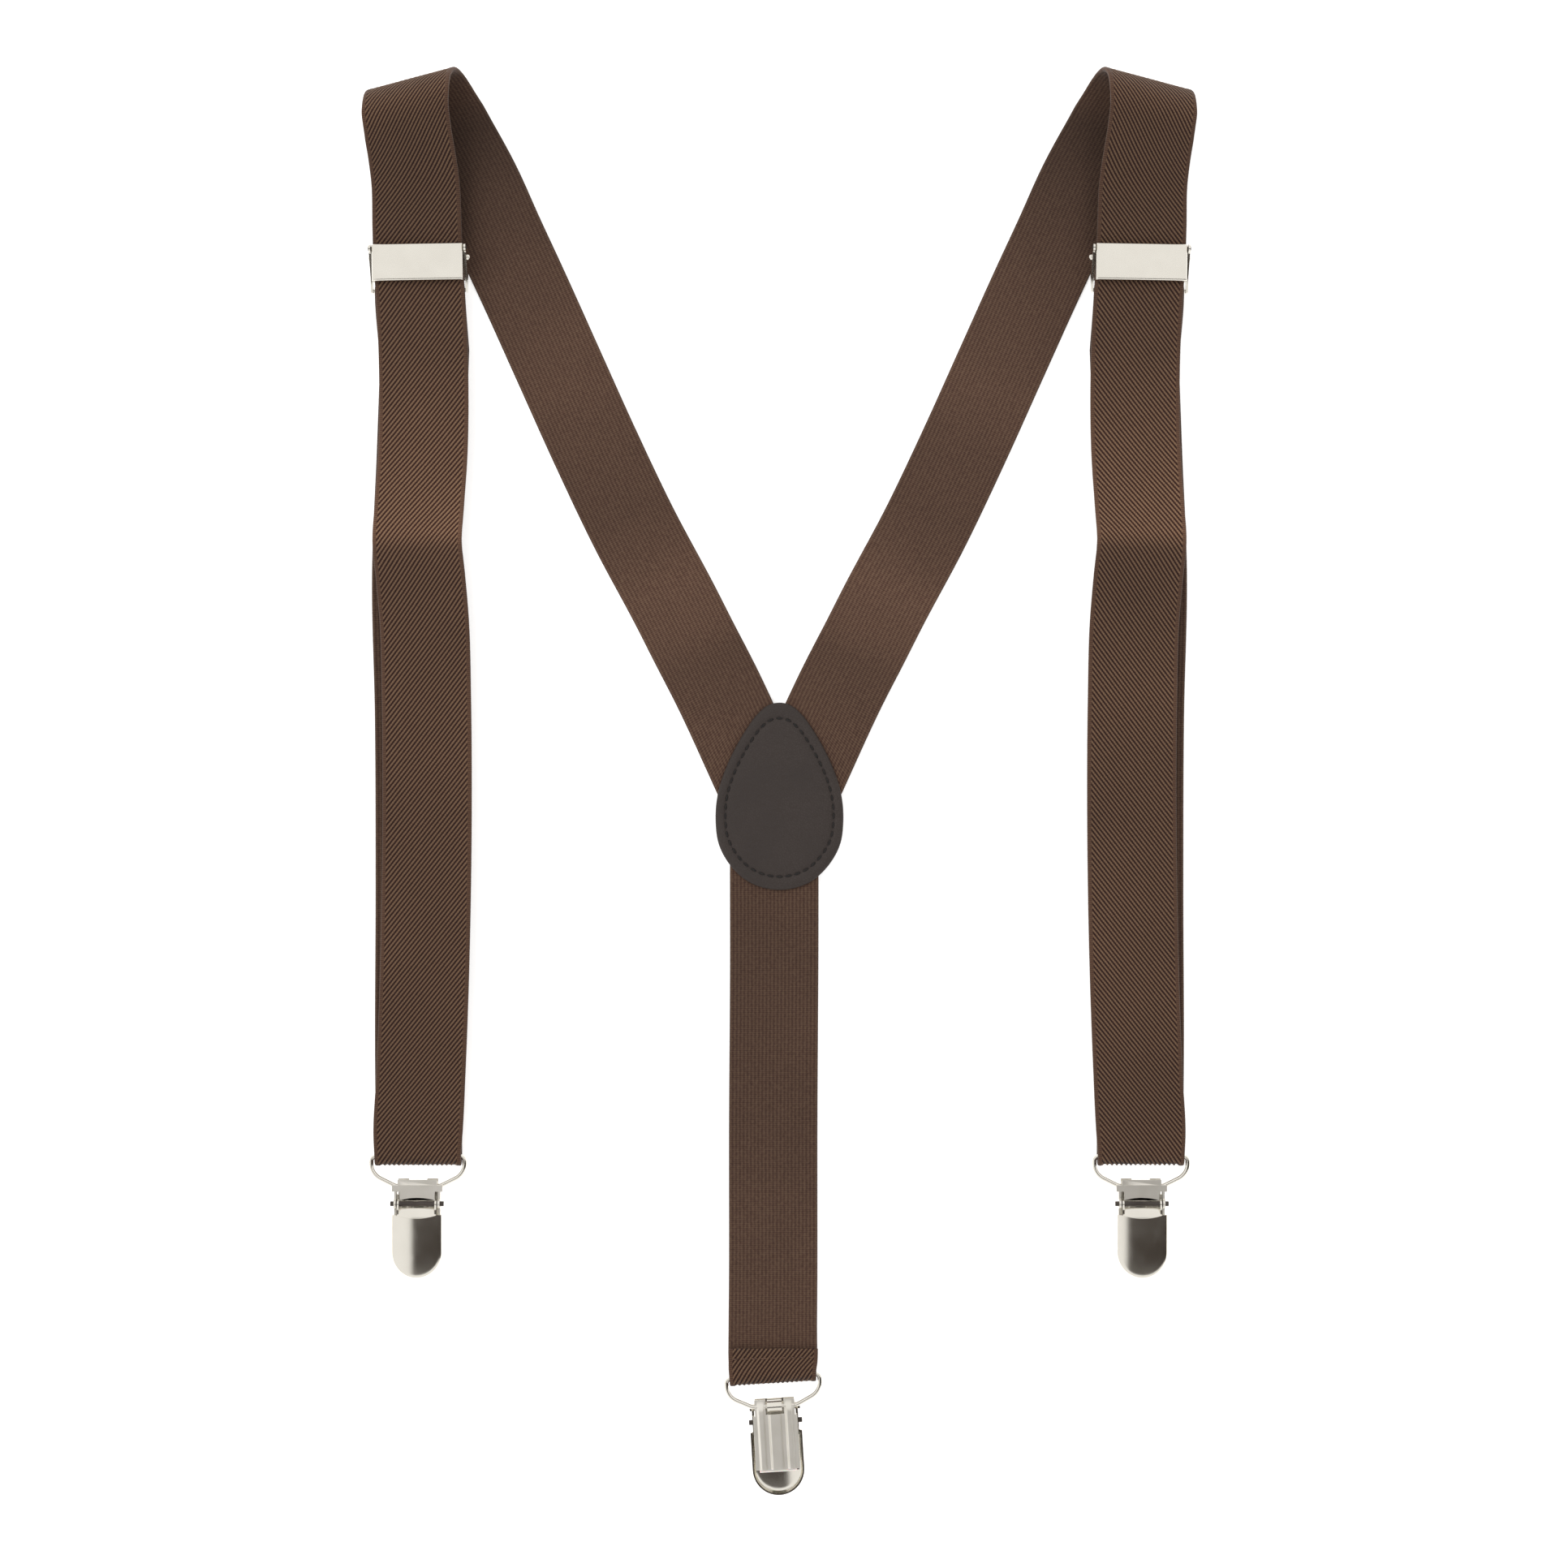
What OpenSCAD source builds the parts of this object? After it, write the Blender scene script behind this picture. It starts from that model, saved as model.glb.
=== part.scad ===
// Y-back clip suspenders, lying flat: two webbing straps sewn into a crotch patch,
// two sliding adjusters and three snap clips.  Millimetres, +Z up, the table is z = 0.
// The left half is drawn; the right half is its mirror image.

/* [Webbing] */
// Width of the webbing
webbing_w = 25.4; // [20:0.1:32]
// Thickness of the webbing
webbing_t = 1.2; // [0.8:0.05:1.4]
// Squeeze of each webbing edge where it turns round a wire
hem_squeeze = 0.35; // [0:0.05:0.6]
// Length of the flap that the hem of the back strap folds up
hem_l = 7.8; // [6:0.1:14]

/* [Shoulder fold] */
// Angle of the fold line from the X axis
fold_angle = 15; // [10:0.5:20]
// Height of the open loop at the fold, to the middle of the webbing
fold_h = 15; // [12:0.5:18]
// Depth of the round end of the loop
fold_d = 8; // [6:0.5:9]

/* [Patch] */
// Thickness of each leaf of the crotch patch
patch_t = 1.1; // [0.8:0.1:2]
// Half width of the patch
patch_half_w = 18.3; // [17:0.1:22]
// Length of the patch from tip to bottom
patch_l = 53.6; // [44:0.1:66]
// Distance of the seam from the patch's edge
seam_inset = 3; // [2:0.1:4]

/* [Adjuster] */
// Distance of the adjusters' slot centre line from the bottom bar of the front clips
adjuster_y = 263.15; // [235:0.05:266]
// Height of the front plate along the strap
plate_h = 10.4; // [9:0.1:13]
// Sheet thickness of the adjuster
adjuster_t = 0.6; // [0.4:0.05:0.8]
// Clearance between a webbing edge and a cheek
slot_side_gap = 0.5; // [0.3:0.05:1]
// Clearance above and below the webbing in the slot
slot_gap = 0.3; // [0.2:0.05:0.5]
// Radius of the bar that carries the tail
tail_bar_r = 0.6; // [0.5:0.05:0.8]
// Length of the sewn end of the tail
tail_end_l = 17; // [12:0.5:24]

/* [Clip] */
// Radius of the wire
wire_r = 0.65; // [0.5:0.05:0.8]
// Distance between the wire loop's two bars
loop_h = 8.4; // [8:0.1:10]
// Width of the snap lever
lever_w = 14.8; // [14.4:0.1:18]
// Length of the snap lever below its shoulders
lever_l = 18.2; // [16:0.1:24]
// Length of the ribbed jaw below the wire
jaw_l = 17.7; // [17:0.1:18.5]
// Width of the ribbed jaw
jaw_w = 12.6; // [11.4:0.1:13]
// Radius of the lever's pin
pin_r = 0.7; // [0.5:0.05:0.75]
// Sheet thickness of the clip's plates
sheet_t = 0.45; // [0.35:0.05:0.5]
// Running clearance of each hinge
running_gap = 0.08; // [0.05:0.01:0.1]
// Angle that the back clip lies turned by
back_clip_turn = 3.5; // [0:0.5:6]

/* [Hidden] */

webbing_colour = "#60442f";
inner_colour = "#503c30";
patch_colour = "#40362f";
thread_colour = "#2c2420";
nickel = "#c9c7c0";
dark_nickel = "#8d8a82";
grip_colour = "#e4e2da";

tiny = 0.05;
webbing_half = webbing_t / 2;
wrap_gap = 0.2;                        // room round a wire inside a turn of webbing
wrap_r = wire_r + wrap_gap + webbing_half;

// Where the clips and the patch lie
clip_x = -103.4;
clip_y = -115.25;
clip_z = 2.82;                         // height of the wire's bottom bar above the table
back_clip_x = -1.4;
back_clip_y = -177.8;
lever_top = 4.4;                       // the lever's crown above the wire's bottom bar
back_clip_z = lever_top;
back_strap_x = -1.5;
back_strap_top = 4.74 - 0.6 * webbing_w;   // ends just clear of the two shoulder straps
patch_bottom_y = -30.6;
front_bar_y = clip_y + loop_h;
back_bar_x = back_clip_x - loop_h * sin(back_clip_turn);
back_bar_y = back_clip_y + loop_h * cos(back_clip_turn);

// The adjuster slides down a straight stretch of the strap
slot_x = -102.85;
slot_y = clip_y + adjuster_y;
slide_angle = 0.955;
slide_end = 186;                       // straight stretch below the adjuster
slide_start = 17.1;                    // and above it
tail_bar_y = -7.2;                     // the bar that carries the tail, below the slot
tail_bar_z = 3.4;
tail_wrap_r = tail_bar_r + 0.1 + webbing_half;
front_z = tail_bar_z + tail_wrap_r + webbing_half + slot_gap + webbing_half;

function slide_point(down, z, angle = slide_angle) =
    [slot_x + down * sin(slide_angle), slot_y - down * cos(slide_angle), z, angle, webbing_w];

// ------------------------------------------------------------------ webbing strips
// A strip is a list of stations [x, y, z, angle of the cross line, width]
function place(s) = [s[0], s[1], s[2]];
function cross_line(s) = [cos(s[3]), sin(s[3]), 0];
function unit(v) = v / norm(v);
function along(list, i) =
    unit(place(list[min(i + 1, len(list) - 1)]) - place(list[max(i - 1, 0)]));

function strip_ring(list, i) =
    let (c = place(list[i]), e = cross_line(list[i]), t = along(list, i))
    let (side = cross(t, e), n = unit(side) * webbing_half)
    let (half = e * list[i][4] / 2 / norm(side))
    [c - half - n, c + half - n, c + half + n, c - half + n];

module strip(list) {
    n = len(list);
    corners = [for (i = [0 : n - 1]) each strip_ring(list, i)];
    walls = [for (i = [0 : n - 2]) for (k = [0 : 3])
        [4 * i + k, 4 * i + (k + 1) % 4, 4 * i + 4 + (k + 1) % 4, 4 * i + 4 + k]];
    far = 4 * (n - 1);
    polyhedron(corners, concat([[3, 2, 1, 0]], walls, [[far, far + 1, far + 2, far + 3]]),
        convexity = 6);
}

// Half turn round a bar at [x, y, z], from below it to above it
function turn(x, y, z, r, reach, angle, width, way = -1) =
    [for (a = [0 : 20 : 180])
        [x - way * reach * sin(a) * sin(angle), y + way * reach * sin(a) * cos(angle),
            z - r * cos(a), angle, width]];

// The shoulder fold: half an ellipse about the fold line, carried along it as it turns
fold_centre = [-104.3, 200.1];
fold_carry = 7.2;
bottom_z = webbing_half;
function fold_point(a) =
    let (in = fold_d * (1 - sin(a)), carry = fold_carry * (a / 180 - 0.5))
    [fold_centre[0] + in * sin(fold_angle) + carry * cos(fold_angle),
        fold_centre[1] - in * cos(fold_angle) + carry * sin(fold_angle),
        (fold_h + bottom_z) / 2 + (fold_h - bottom_z) / 2 * cos(a), fold_angle, webbing_w];

hem_w = webbing_w - 2 * hem_squeeze;
strap_low = 2.05;                      // how far the loose turn hangs below its wire
patch_layer_z = patch_t + tiny + webbing_half;

front_run = [
    [-103.3, front_bar_y + 3.4, clip_z - wrap_r, 0, hem_w],
    each turn(-103.3, front_bar_y, clip_z, wrap_r, strap_low, 0, hem_w),
    [-103.2, front_bar_y + 6, clip_z + wrap_r, 1, webbing_w],
    [-102.3, front_bar_y + 23, 4.9, 2, webbing_w],
    [-101.3, front_bar_y + 47, 5.5, 2, webbing_w],
    [-100.5, front_bar_y + 67, front_z, 1.5, webbing_w]];
slide_run = [for (down = [slide_end, 150, 100, 50, 0, -slide_start])
    slide_point(down, front_z)];
rise_run = [
    [-103.7, 171.5, front_z + 0.9, 6, webbing_w],
    [-104.4, 178, 10, 11, webbing_w],
    [-105.2, 184.5, 13.3, fold_angle, webbing_w]];
fold_run = [for (a = [0 : 15 : 180]) fold_point(a)];
diagonal_run = [
    [-93.2, 183.6, bottom_z, 22, webbing_w],
    [-87.4, 172.5, bottom_z, 26, webbing_w],
    [-79.9, 156, bottom_z, 25, webbing_w],
    [-74, 143.3, bottom_z, 24.5, webbing_w],
    [-63.5, 120, bottom_z, 24, webbing_w],
    [-53, 96.7, bottom_z, 24.5, webbing_w],
    [-41.9, 73.4, bottom_z, 26, webbing_w],
    [-29.5, 50.1, bottom_z, 27.5, webbing_w],
    [-25, 41.2, bottom_z + 0.3, 27, webbing_w],
    [-18, 27.6, patch_layer_z, 27, webbing_w],
    [-7.5, 4.9, patch_layer_z, 62.5, webbing_w]];

module strap() {
    color(webbing_colour) strip(concat(front_run, slide_run, rise_run, fold_run, diagonal_run));
}

tail_start = slide_point(-tail_bar_y + tail_end_l + tiny, tail_bar_z - tail_wrap_r);
module tail() {
    color(inner_colour) strip([
        tail_start,
        [-103.6, 95, 2, 0, webbing_w],
        [-104, 60, 1.9, -1, webbing_w],
        [-103.2, 20, 1.8, 0, webbing_w],
        [-103, -30, 1.7, 0, webbing_w],
        [-103.2, -80, clip_z - wrap_r, 0, webbing_w],
        [-103.3, front_bar_y + 3.5, clip_z - wrap_r, 0, hem_w]]);
}

// The adjuster's own frame: x across, y up the strap, the slot's centre at the origin
module at_adjuster() {
    translate([slot_x, slot_y, 0]) rotate([0, 0, slide_angle]) children();
}

module tail_end() {
    low = tail_bar_y - tail_end_l;
    color(inner_colour) at_adjuster() strip(concat(
        [[0, low, tail_bar_z - tail_wrap_r, 0, webbing_w]],
        turn(0, tail_bar_y, tail_bar_z, tail_wrap_r, tail_wrap_r, 0, webbing_w, 1),
        [[0, low, tail_bar_z + tail_wrap_r, 0, webbing_w]]));
}

stitch_l = 2;
stitch_w = 0.5;
stitch_h = 0.15;
module stitch_row(half, pitch) {
    count = floor(half / pitch);
    for (i = [-count : count])
        translate([i * pitch - stitch_l / 2, -stitch_w / 2, 0]) cube([stitch_l, stitch_w, stitch_h]);
}

module tail_stitching() {
    color(thread_colour) at_adjuster() for (down = [4, tail_end_l - 2.5])
        translate([0, tail_bar_y - down, tail_bar_z + tail_wrap_r + webbing_half])
            stitch_row(webbing_w / 2 - 3, 3);
}

// ------------------------------------------------------------------ back strap
back_turn_low = back_clip_z - wrap_r;
hem_start = back_bar_y + hem_l;
hem_drop = 1.7;
module back_strap() {
    color(inner_colour) strip(concat(
        [[back_strap_x, back_strap_top, patch_layer_z, 0, webbing_w],
        [back_strap_x, -31, patch_layer_z, 0, webbing_w],
        [back_strap_x, -46, bottom_z, 0, webbing_w],
        [back_strap_x - 0.3, -100, bottom_z, 0, webbing_w],
        [back_bar_x + 0.1, back_bar_y + 27, bottom_z, 0, webbing_w],
        [back_bar_x, back_bar_y + 12, bottom_z + 0.9, 1, webbing_w],
        [back_bar_x, back_bar_y + 5, back_turn_low - 0.3, 2.5, webbing_w]],
        turn(back_bar_x, back_bar_y, back_clip_z, wrap_r, wrap_r, back_clip_turn, hem_w),
        [[back_bar_x + 0.1, back_bar_y + hem_l * 0.55, back_clip_z + wrap_r - hem_drop * 0.6, 2, webbing_w],
        [back_bar_x + 0.2, hem_start, back_clip_z + wrap_r - hem_drop, 0, webbing_w]]));
}

module back_hem_stitching() {
    color(thread_colour)
        translate([back_bar_x, back_bar_y + hem_l - 2, back_clip_z + wrap_r + webbing_half - hem_drop * 0.7])
            stitch_row(webbing_w / 2 - 2, 2.6);
}

// ------------------------------------------------------------------ patch
// Circles [half spread, height above the bottom, radius] whose hull is the tear-drop
patch_fullness = [[0, 18, 18], [6.2, 14.6, 12.1], [8.4, 26.6, 9.1], [7, 38.4, 6.2], [3.4, 48.6, 3.4],
    [0, 50.6, 3]];
patch_x_scale = patch_half_w / 18.3;
patch_y_scale = patch_l / 53.6;
module patch_outline() {
    translate([0, patch_bottom_y]) scale([patch_x_scale, patch_y_scale]) hull()
        for (c = patch_fullness, side = [-1, 1])
            translate([side * c[0], c[1]]) circle(r = c[2], $fn = 48);
}

patch_inner_z = patch_t + 2 * tiny + webbing_t;
module patch_outer() { color(patch_colour) linear_extrude(patch_t) patch_outline(); }
module patch_inner() {
    color(patch_colour) translate([0, 0, patch_inner_z]) linear_extrude(patch_t) patch_outline();
}
module patch_stitching() {
    color(thread_colour) translate([0, 0, patch_inner_z + patch_t]) linear_extrude(stitch_h)
        difference() {
            offset(delta = -seam_inset) patch_outline();
            offset(delta = -seam_inset - stitch_w) patch_outline();
        }
}

// ------------------------------------------------------------------ adjuster
slot_half = webbing_w / 2 + slot_side_gap;
cheek_out = slot_half + adjuster_t;
anvil_top = front_z - webbing_half - slot_gap;
strap_top = front_z + webbing_half;
pivot_r = 0.6;
pivot_bore_r = pivot_r + running_gap;
pivot_y = plate_h / 2 - 1.1;
pivot_z = strap_top + 1.05;
plate_z = pivot_z + 0.45;
plate_half = webbing_w / 2 + 0.25;
cheek_low = tail_bar_z - tail_bar_r - 0.2;
cheek_end = tail_bar_y - tail_bar_r - 0.1;
teeth_gap = 0.1;

module cheek() {
    translate([-adjuster_t / 2, 0, 0]) rotate([90, 0, 90]) linear_extrude(adjuster_t)
        polygon([[cheek_end, cheek_low], [-2, cheek_low], [plate_h / 2 - 0.2, anvil_top - 1.4],
            [plate_h / 2 - 0.2, pivot_z], [pivot_y - 1.5, pivot_z], [-3.5, anvil_top],
            [cheek_end, anvil_top]]);
    translate([-adjuster_t / 2, pivot_y, pivot_z]) rotate([0, 90, 0])
        cylinder(r = 1.2, h = adjuster_t, $fn = 48);
}

module adjuster_frame() {
    color(nickel) at_adjuster() {
        difference() {
            union() {
                for (side = [-1, 1]) translate([side * (slot_half + adjuster_t / 2), 0, 0]) cheek();
                translate([-slot_half, tail_bar_y, tail_bar_z]) rotate([0, 90, 0])
                    cylinder(r = tail_bar_r, h = 2 * slot_half, $fn = 48);
                translate([-slot_half, tail_bar_y + tail_wrap_r + webbing_half + 0.4, anvil_top - adjuster_t])
                    cube([2 * slot_half, plate_h / 2 - 1 - tail_bar_y - tail_wrap_r - webbing_half - 0.4,
                        adjuster_t]);
            }
            translate([-cheek_out - 1, pivot_y, pivot_z]) rotate([0, 90, 0])
                cylinder(r = pivot_bore_r, h = 2 * cheek_out + 2, $fn = 48);
        }
    }
}

flange_t = 0.5;
module adjuster_cover() {
    color(nickel) at_adjuster() difference() {
        union() {
            translate([-plate_half, -plate_h / 2, plate_z])
                cube([2 * plate_half, plate_h, adjuster_t]);
            for (side = [-1, 1]) translate([side * (plate_half - flange_t / 2), 0, 0]) {
                translate([-flange_t / 2, -plate_h / 2, pivot_z])
                    cube([flange_t, plate_h / 2 + pivot_y, plate_z - pivot_z + tiny]);
                translate([-flange_t / 2, pivot_y, pivot_z]) rotate([0, 90, 0])
                    cylinder(r = 0.95, h = flange_t, $fn = 48);
            }
            for (i = [-8 : 8]) translate([i * 1.4 - 0.35, -plate_h / 2 + 0.3, strap_top + teeth_gap])
                cube([0.7, 0.5, plate_z - strap_top]);
        }
        translate([-cheek_out, pivot_y, pivot_z]) rotate([0, 90, 0])
            cylinder(r = pivot_bore_r, h = 2 * cheek_out, $fn = 48);
    }
}

module adjuster_pins() {
    color(dark_nickel) at_adjuster() for (side = [0, 1]) mirror([side, 0, 0])
        translate([plate_half - flange_t - 0.3, pivot_y, pivot_z]) rotate([0, 90, 0])
            cylinder(r = pivot_r, h = cheek_out + 0.2 - plate_half + flange_t + 0.3, $fn = 48);
}

module adjuster_rivets() {
    color(nickel) at_adjuster() for (side = [0, 1]) mirror([side, 0, 0])
        translate([cheek_out, 1.6, pivot_z - 1.7]) rotate([0, 90, 0]) {
            cylinder(r = 0.8, h = 0.6, $fn = 32);
            translate([0, 0, 0.6]) cylinder(r1 = 0.8, r2 = 0.4, h = 0.4, $fn = 32);
        }
}

// ------------------------------------------------------------------ wire loop
// Clip frame: x across, y towards the webbing, z out through the lever, and the
// origin on the middle of the wire's bottom bar
bore_r = wire_r + running_gap;
loop_half = webbing_w / 2 + wire_r;
bar_half = 6;
rise_turn = 26;
rise_r = 1.5;
side_r = 3.2;
top_r = 1.2;
rise_end = [bar_half + rise_r * sin(rise_turn), rise_r * (1 - cos(rise_turn))];
side_start_x = loop_half - side_r * (1 - sin(rise_turn));
rise_l = (side_start_x - rise_end[0]) / cos(rise_turn);
side_start = [side_start_x, rise_end[1] + rise_l * sin(rise_turn)];
side_centre = side_start + side_r * [-sin(rise_turn), cos(rise_turn)];
top_centre = [loop_half - top_r, loop_h - top_r];
bar_join = 0.6;                        // the bent sides run this far into the two bars
bend_r = wire_r * 0.985;

// Points [x, y, heading] along the wire's right side, from the bottom bar to the top bar
function arc_at(centre, r, heading) =
    [centre[0] + r * sin(heading), centre[1] - r * cos(heading), heading];
wire_side_run = concat(
    [[bar_half - bar_join, 0, 0]],
    [for (h = [0, rise_turn / 2, rise_turn]) arc_at([bar_half, rise_r], rise_r, h)],
    [for (i = [0 : 4]) arc_at(side_centre, side_r, rise_turn + (90 - rise_turn) * i / 4)],
    [for (h = [90 : 30 : 180]) arc_at(top_centre, top_r, h)],
    [[loop_half - top_r - bar_join, loop_h, 180]]);

module wire_side() {
    sides = 12;
    n = len(wire_side_run);
    corners = [for (p = wire_side_run) for (k = [0 : sides - 1]) let (a = k * 360 / sides)
        [p[0] - bend_r * cos(a) * sin(p[2]), p[1] + bend_r * cos(a) * cos(p[2]), bend_r * sin(a)]];
    walls = [for (i = [0 : n - 2]) for (k = [0 : sides - 1])
        [sides * i + k, sides * (i + 1) + k, sides * (i + 1) + (k + 1) % sides, sides * i + (k + 1) % sides]];
    ends = [[for (k = [0 : sides - 1]) k], [for (k = [sides - 1 : -1 : 0]) sides * (n - 1) + k]];
    polyhedron(corners, concat(walls, ends), convexity = 4);
}
module wire_bar(half, y) {
    translate([-half, y, 0]) rotate([0, 90, 0]) cylinder(r = wire_r, h = 2 * half, $fn = 48);
}
module wire_loop() {
    color(nickel) {
        wire_bar(bar_half, 0);
        wire_bar(loop_half - top_r, loop_h);
        for (side = [0, 1]) mirror([side, 0, 0]) wire_side();
    }
}

// ------------------------------------------------------------------ clip
knuckle_r = bore_r + sheet_t;
hook_half = 2.1;
tongue_in = knuckle_r + 0.12;          // the tongue passes in front of the jaw's knuckles
tongue_out = tongue_in + sheet_t;
lobe_half = 7.2;
lobe_top = 0.45;
band_top = 1.95;                       // the tongue's thinner top edge covers the jaw's knuckles
neck_half = 5;
neck_low = -3.85;
pin_y = -4.8;
pin_z = 1.9;
pin_bore_r = pin_r + running_gap;
ear_in = 5.95;
ear_t = 0.6;
ear_back = -0.4;
ear_low = -8.4;
inner_jaw_z = -0.05;
mouth_y = -jaw_l - 0.8;

module bar_x(r, half, y = 0, z = 0) {
    translate([-half, y, z]) rotate([0, 90, 0]) cylinder(r = r, h = 2 * half, $fn = 64);
}

module clip_frame() {
    color(nickel) difference() {
        union() {
            bar_x(tongue_out, hook_half);
            translate([-lobe_half, -1.4, tongue_in]) cube([2 * lobe_half, 1.4 + lobe_top, sheet_t]);
            translate([-knuckle_out, lobe_top - tiny, tongue_in])
                cube([2 * knuckle_out, band_top - lobe_top + tiny, sheet_t - 0.1]);
            translate([0, 0, tongue_in]) linear_extrude(sheet_t) difference() {
                translate([-neck_half, neck_low]) square([2 * neck_half, -neck_low]);
                translate([0, neck_low - 17.5]) circle(r = 18.2, $fn = 128);
            }
            for (side = [0, 1]) mirror([side, 0, 0]) {
                translate([ear_in, ear_low, ear_back]) cube([ear_t, -0.95 - ear_low, tongue_out - ear_back]);
                translate([ear_in, pin_y, pin_z]) rotate([0, 90, 0]) cylinder(r = 1.35, h = ear_t, $fn = 48);
            }
            translate([-ear_in - tiny, mouth_y, inner_jaw_z])
                cube([2 * ear_in + 2 * tiny, -6.2 - mouth_y, sheet_t]);
        }
        bar_x(bore_r, hook_half + 1);
        bar_x(pin_bore_r, ear_in + ear_t + 1, pin_y, pin_z);
    }
}

module clip_pin() { color(dark_nickel) bar_x(pin_r, 7.6, pin_y, pin_z); }

// Section of the ribbed jaw, ribs outwards
rib_d = 0.45;
ribs = [[-6.3, 0], [-5.1, 0], [-4.6, 1], [-3.4, 1], [-2.9, 0], [-1.9, 0], [-1.4, 1],
    [1.4, 1], [1.9, 0], [2.9, 0], [3.4, 1], [4.6, 1], [5.1, 0], [6.3, 0]];
jaw_slope = 4;
jaw_top = 2;
jaw_sink = 0.1;                        // the sheet lies this far inside the knuckles' outer face
jaw_neck = 2.6;
knuckle_out = 5.6;
slot_w_half = hook_half + 0.5;
rib_scale = jaw_w / 12.6;
function rib_line(lift) = [for (p = ribs) [p[0] * rib_scale, lift - p[1] * rib_d]];
function flipped(list) = [for (i = [len(list) - 1 : -1 : 0]) list[i]];

module clip_jaw() {
    color(nickel) difference() {
        union() {
            for (side = [0, 1]) mirror([side, 0, 0]) translate([slot_w_half, 0, 0]) rotate([0, 90, 0])
                cylinder(r = knuckle_r, h = knuckle_out - slot_w_half, $fn = 64);
            rotate([jaw_slope, 0, 0]) translate([0, jaw_top, jaw_sink - knuckle_r]) rotate([90, 0, 0])
                linear_extrude(jaw_l + jaw_top)
                    polygon(concat(rib_line(sheet_t), flipped(rib_line(0))));
        }
        bar_x(bore_r, knuckle_out + 1);
        translate([-slot_w_half, -tongue_out - 0.4, -4]) cube([2 * slot_w_half, 8, 8]);
        for (side = [0, 1]) mirror([side, 0, 0]) translate([knuckle_out, -jaw_neck, -4]) cube([4, 8, 8]);
        // the sheet is cut clear of the frame's ears
        for (side = [0, 1]) mirror([side, 0, 0])
            translate([ear_in - 0.2, ear_low - 0.3, ear_back - 0.3]) cube([ear_t + 0.6, 9, 3]);
    }
}

// The lever: a shallow crowned tray with a round end, open at its shoulders
crown_r = 23.7;
shoulder_y = -7.8;
wall_z = 1.8;
lever_half = lever_w / 2;
module lever_plan(inset) {
    r = lever_half - inset;
    end_y = shoulder_y - lever_l + lever_half;
    translate([0, end_y]) circle(r = r, $fn = 96);
    translate([-r, end_y]) square([2 * r, shoulder_y - end_y + 2 * inset]);
}
module crown(r) {
    translate([0, 20, lever_top - crown_r]) rotate([90, 0, 0]) cylinder(r = r, h = 60, $fn = 200);
}
module clip_lever() {
    color(nickel) difference() {
        union() {
            difference() {
                intersection() {
                    translate([0, 0, wall_z]) linear_extrude(4) lever_plan(0);
                    crown(crown_r);
                }
                intersection() {
                    translate([0, 0, wall_z - 1]) linear_extrude(5) lever_plan(sheet_t);
                    crown(crown_r - sheet_t);
                }
            }
            intersection() {
                translate([-5.6, shoulder_y - 1, 2.4]) cube([11.2, 2.8, 3]);
                difference() {
                    translate([0, 0, -0.3]) crown(crown_r);
                    translate([0, 0, -0.3]) crown(crown_r - sheet_t - 0.15);
                }
            }
            for (side = [0, 1]) mirror([side, 0, 0]) translate([5.1, 0, 0]) rotate([90, 0, 90]) {
                linear_extrude(0.5) polygon([[-5.6, 1.2], [-4.4, 2.9], [-6.1, 3.3], [-8.7, 3.3], [-8.7, 2.6]]);
                translate([pin_y, pin_z]) cylinder(r = 1.15, h = 0.5, $fn = 48);
            }
        }
        bar_x(pin_bore_r, 6, pin_y, pin_z);
    }
}

module clip_grip() {
    color(grip_colour) translate([0, 0, inner_jaw_z]) {
        translate([-5.3, mouth_y, -1.3]) cube([10.6, 6.2, 1.3]);
        for (y = [0.4, 2.4, 4.4]) translate([-5.3, mouth_y + y, -1.3]) rotate([90, 0, 90])
            linear_extrude(10.6) polygon([[-0.4, 0], [0.4, 0], [0, -0.22]]);
    }
}

// ------------------------------------------------------------------ places
module left() { children(); }
module right() { mirror([1, 0, 0]) children(); }
module at_front_clip() { translate([clip_x, clip_y, clip_z]) children(); }
module at_back_clip() {
    translate([back_clip_x, back_clip_y, back_clip_z]) rotate([0, 0, back_clip_turn])
        rotate([0, 180, 0]) children();
}

left() strap();  // strap_left
right() strap();  // strap_right
left() tail();  // tail_left
right() tail();  // tail_right
left() tail_end();  // tail_end_left
right() tail_end();  // tail_end_right
left() tail_stitching();  // tail_stitching_left
right() tail_stitching();  // tail_stitching_right
back_strap();
back_hem_stitching();
patch_outer();
patch_inner();
patch_stitching();
left() adjuster_frame();  // adjuster_frame_left
left() adjuster_cover();  // adjuster_cover_left
left() adjuster_pins();  // adjuster_pins_left
left() adjuster_rivets();  // adjuster_rivets_left
right() adjuster_frame();  // adjuster_frame_right
right() adjuster_cover();  // adjuster_cover_right
right() adjuster_pins();  // adjuster_pins_right
right() adjuster_rivets();  // adjuster_rivets_right
left() at_front_clip() wire_loop();  // wire_loop_left
left() at_front_clip() clip_frame();  // clip_frame_left
left() at_front_clip() clip_jaw();  // clip_jaw_left
left() at_front_clip() clip_lever();  // clip_lever_left
left() at_front_clip() clip_pin();  // clip_pin_left
left() at_front_clip() clip_grip();  // clip_grip_left
right() at_front_clip() wire_loop();  // wire_loop_right
right() at_front_clip() clip_frame();  // clip_frame_right
right() at_front_clip() clip_jaw();  // clip_jaw_right
right() at_front_clip() clip_lever();  // clip_lever_right
right() at_front_clip() clip_pin();  // clip_pin_right
right() at_front_clip() clip_grip();  // clip_grip_right
at_back_clip() wire_loop();  // wire_loop_back
at_back_clip() clip_frame();  // clip_frame_back
at_back_clip() clip_jaw();  // clip_jaw_back
at_back_clip() clip_lever();  // clip_lever_back
at_back_clip() clip_pin();  // clip_pin_back
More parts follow.
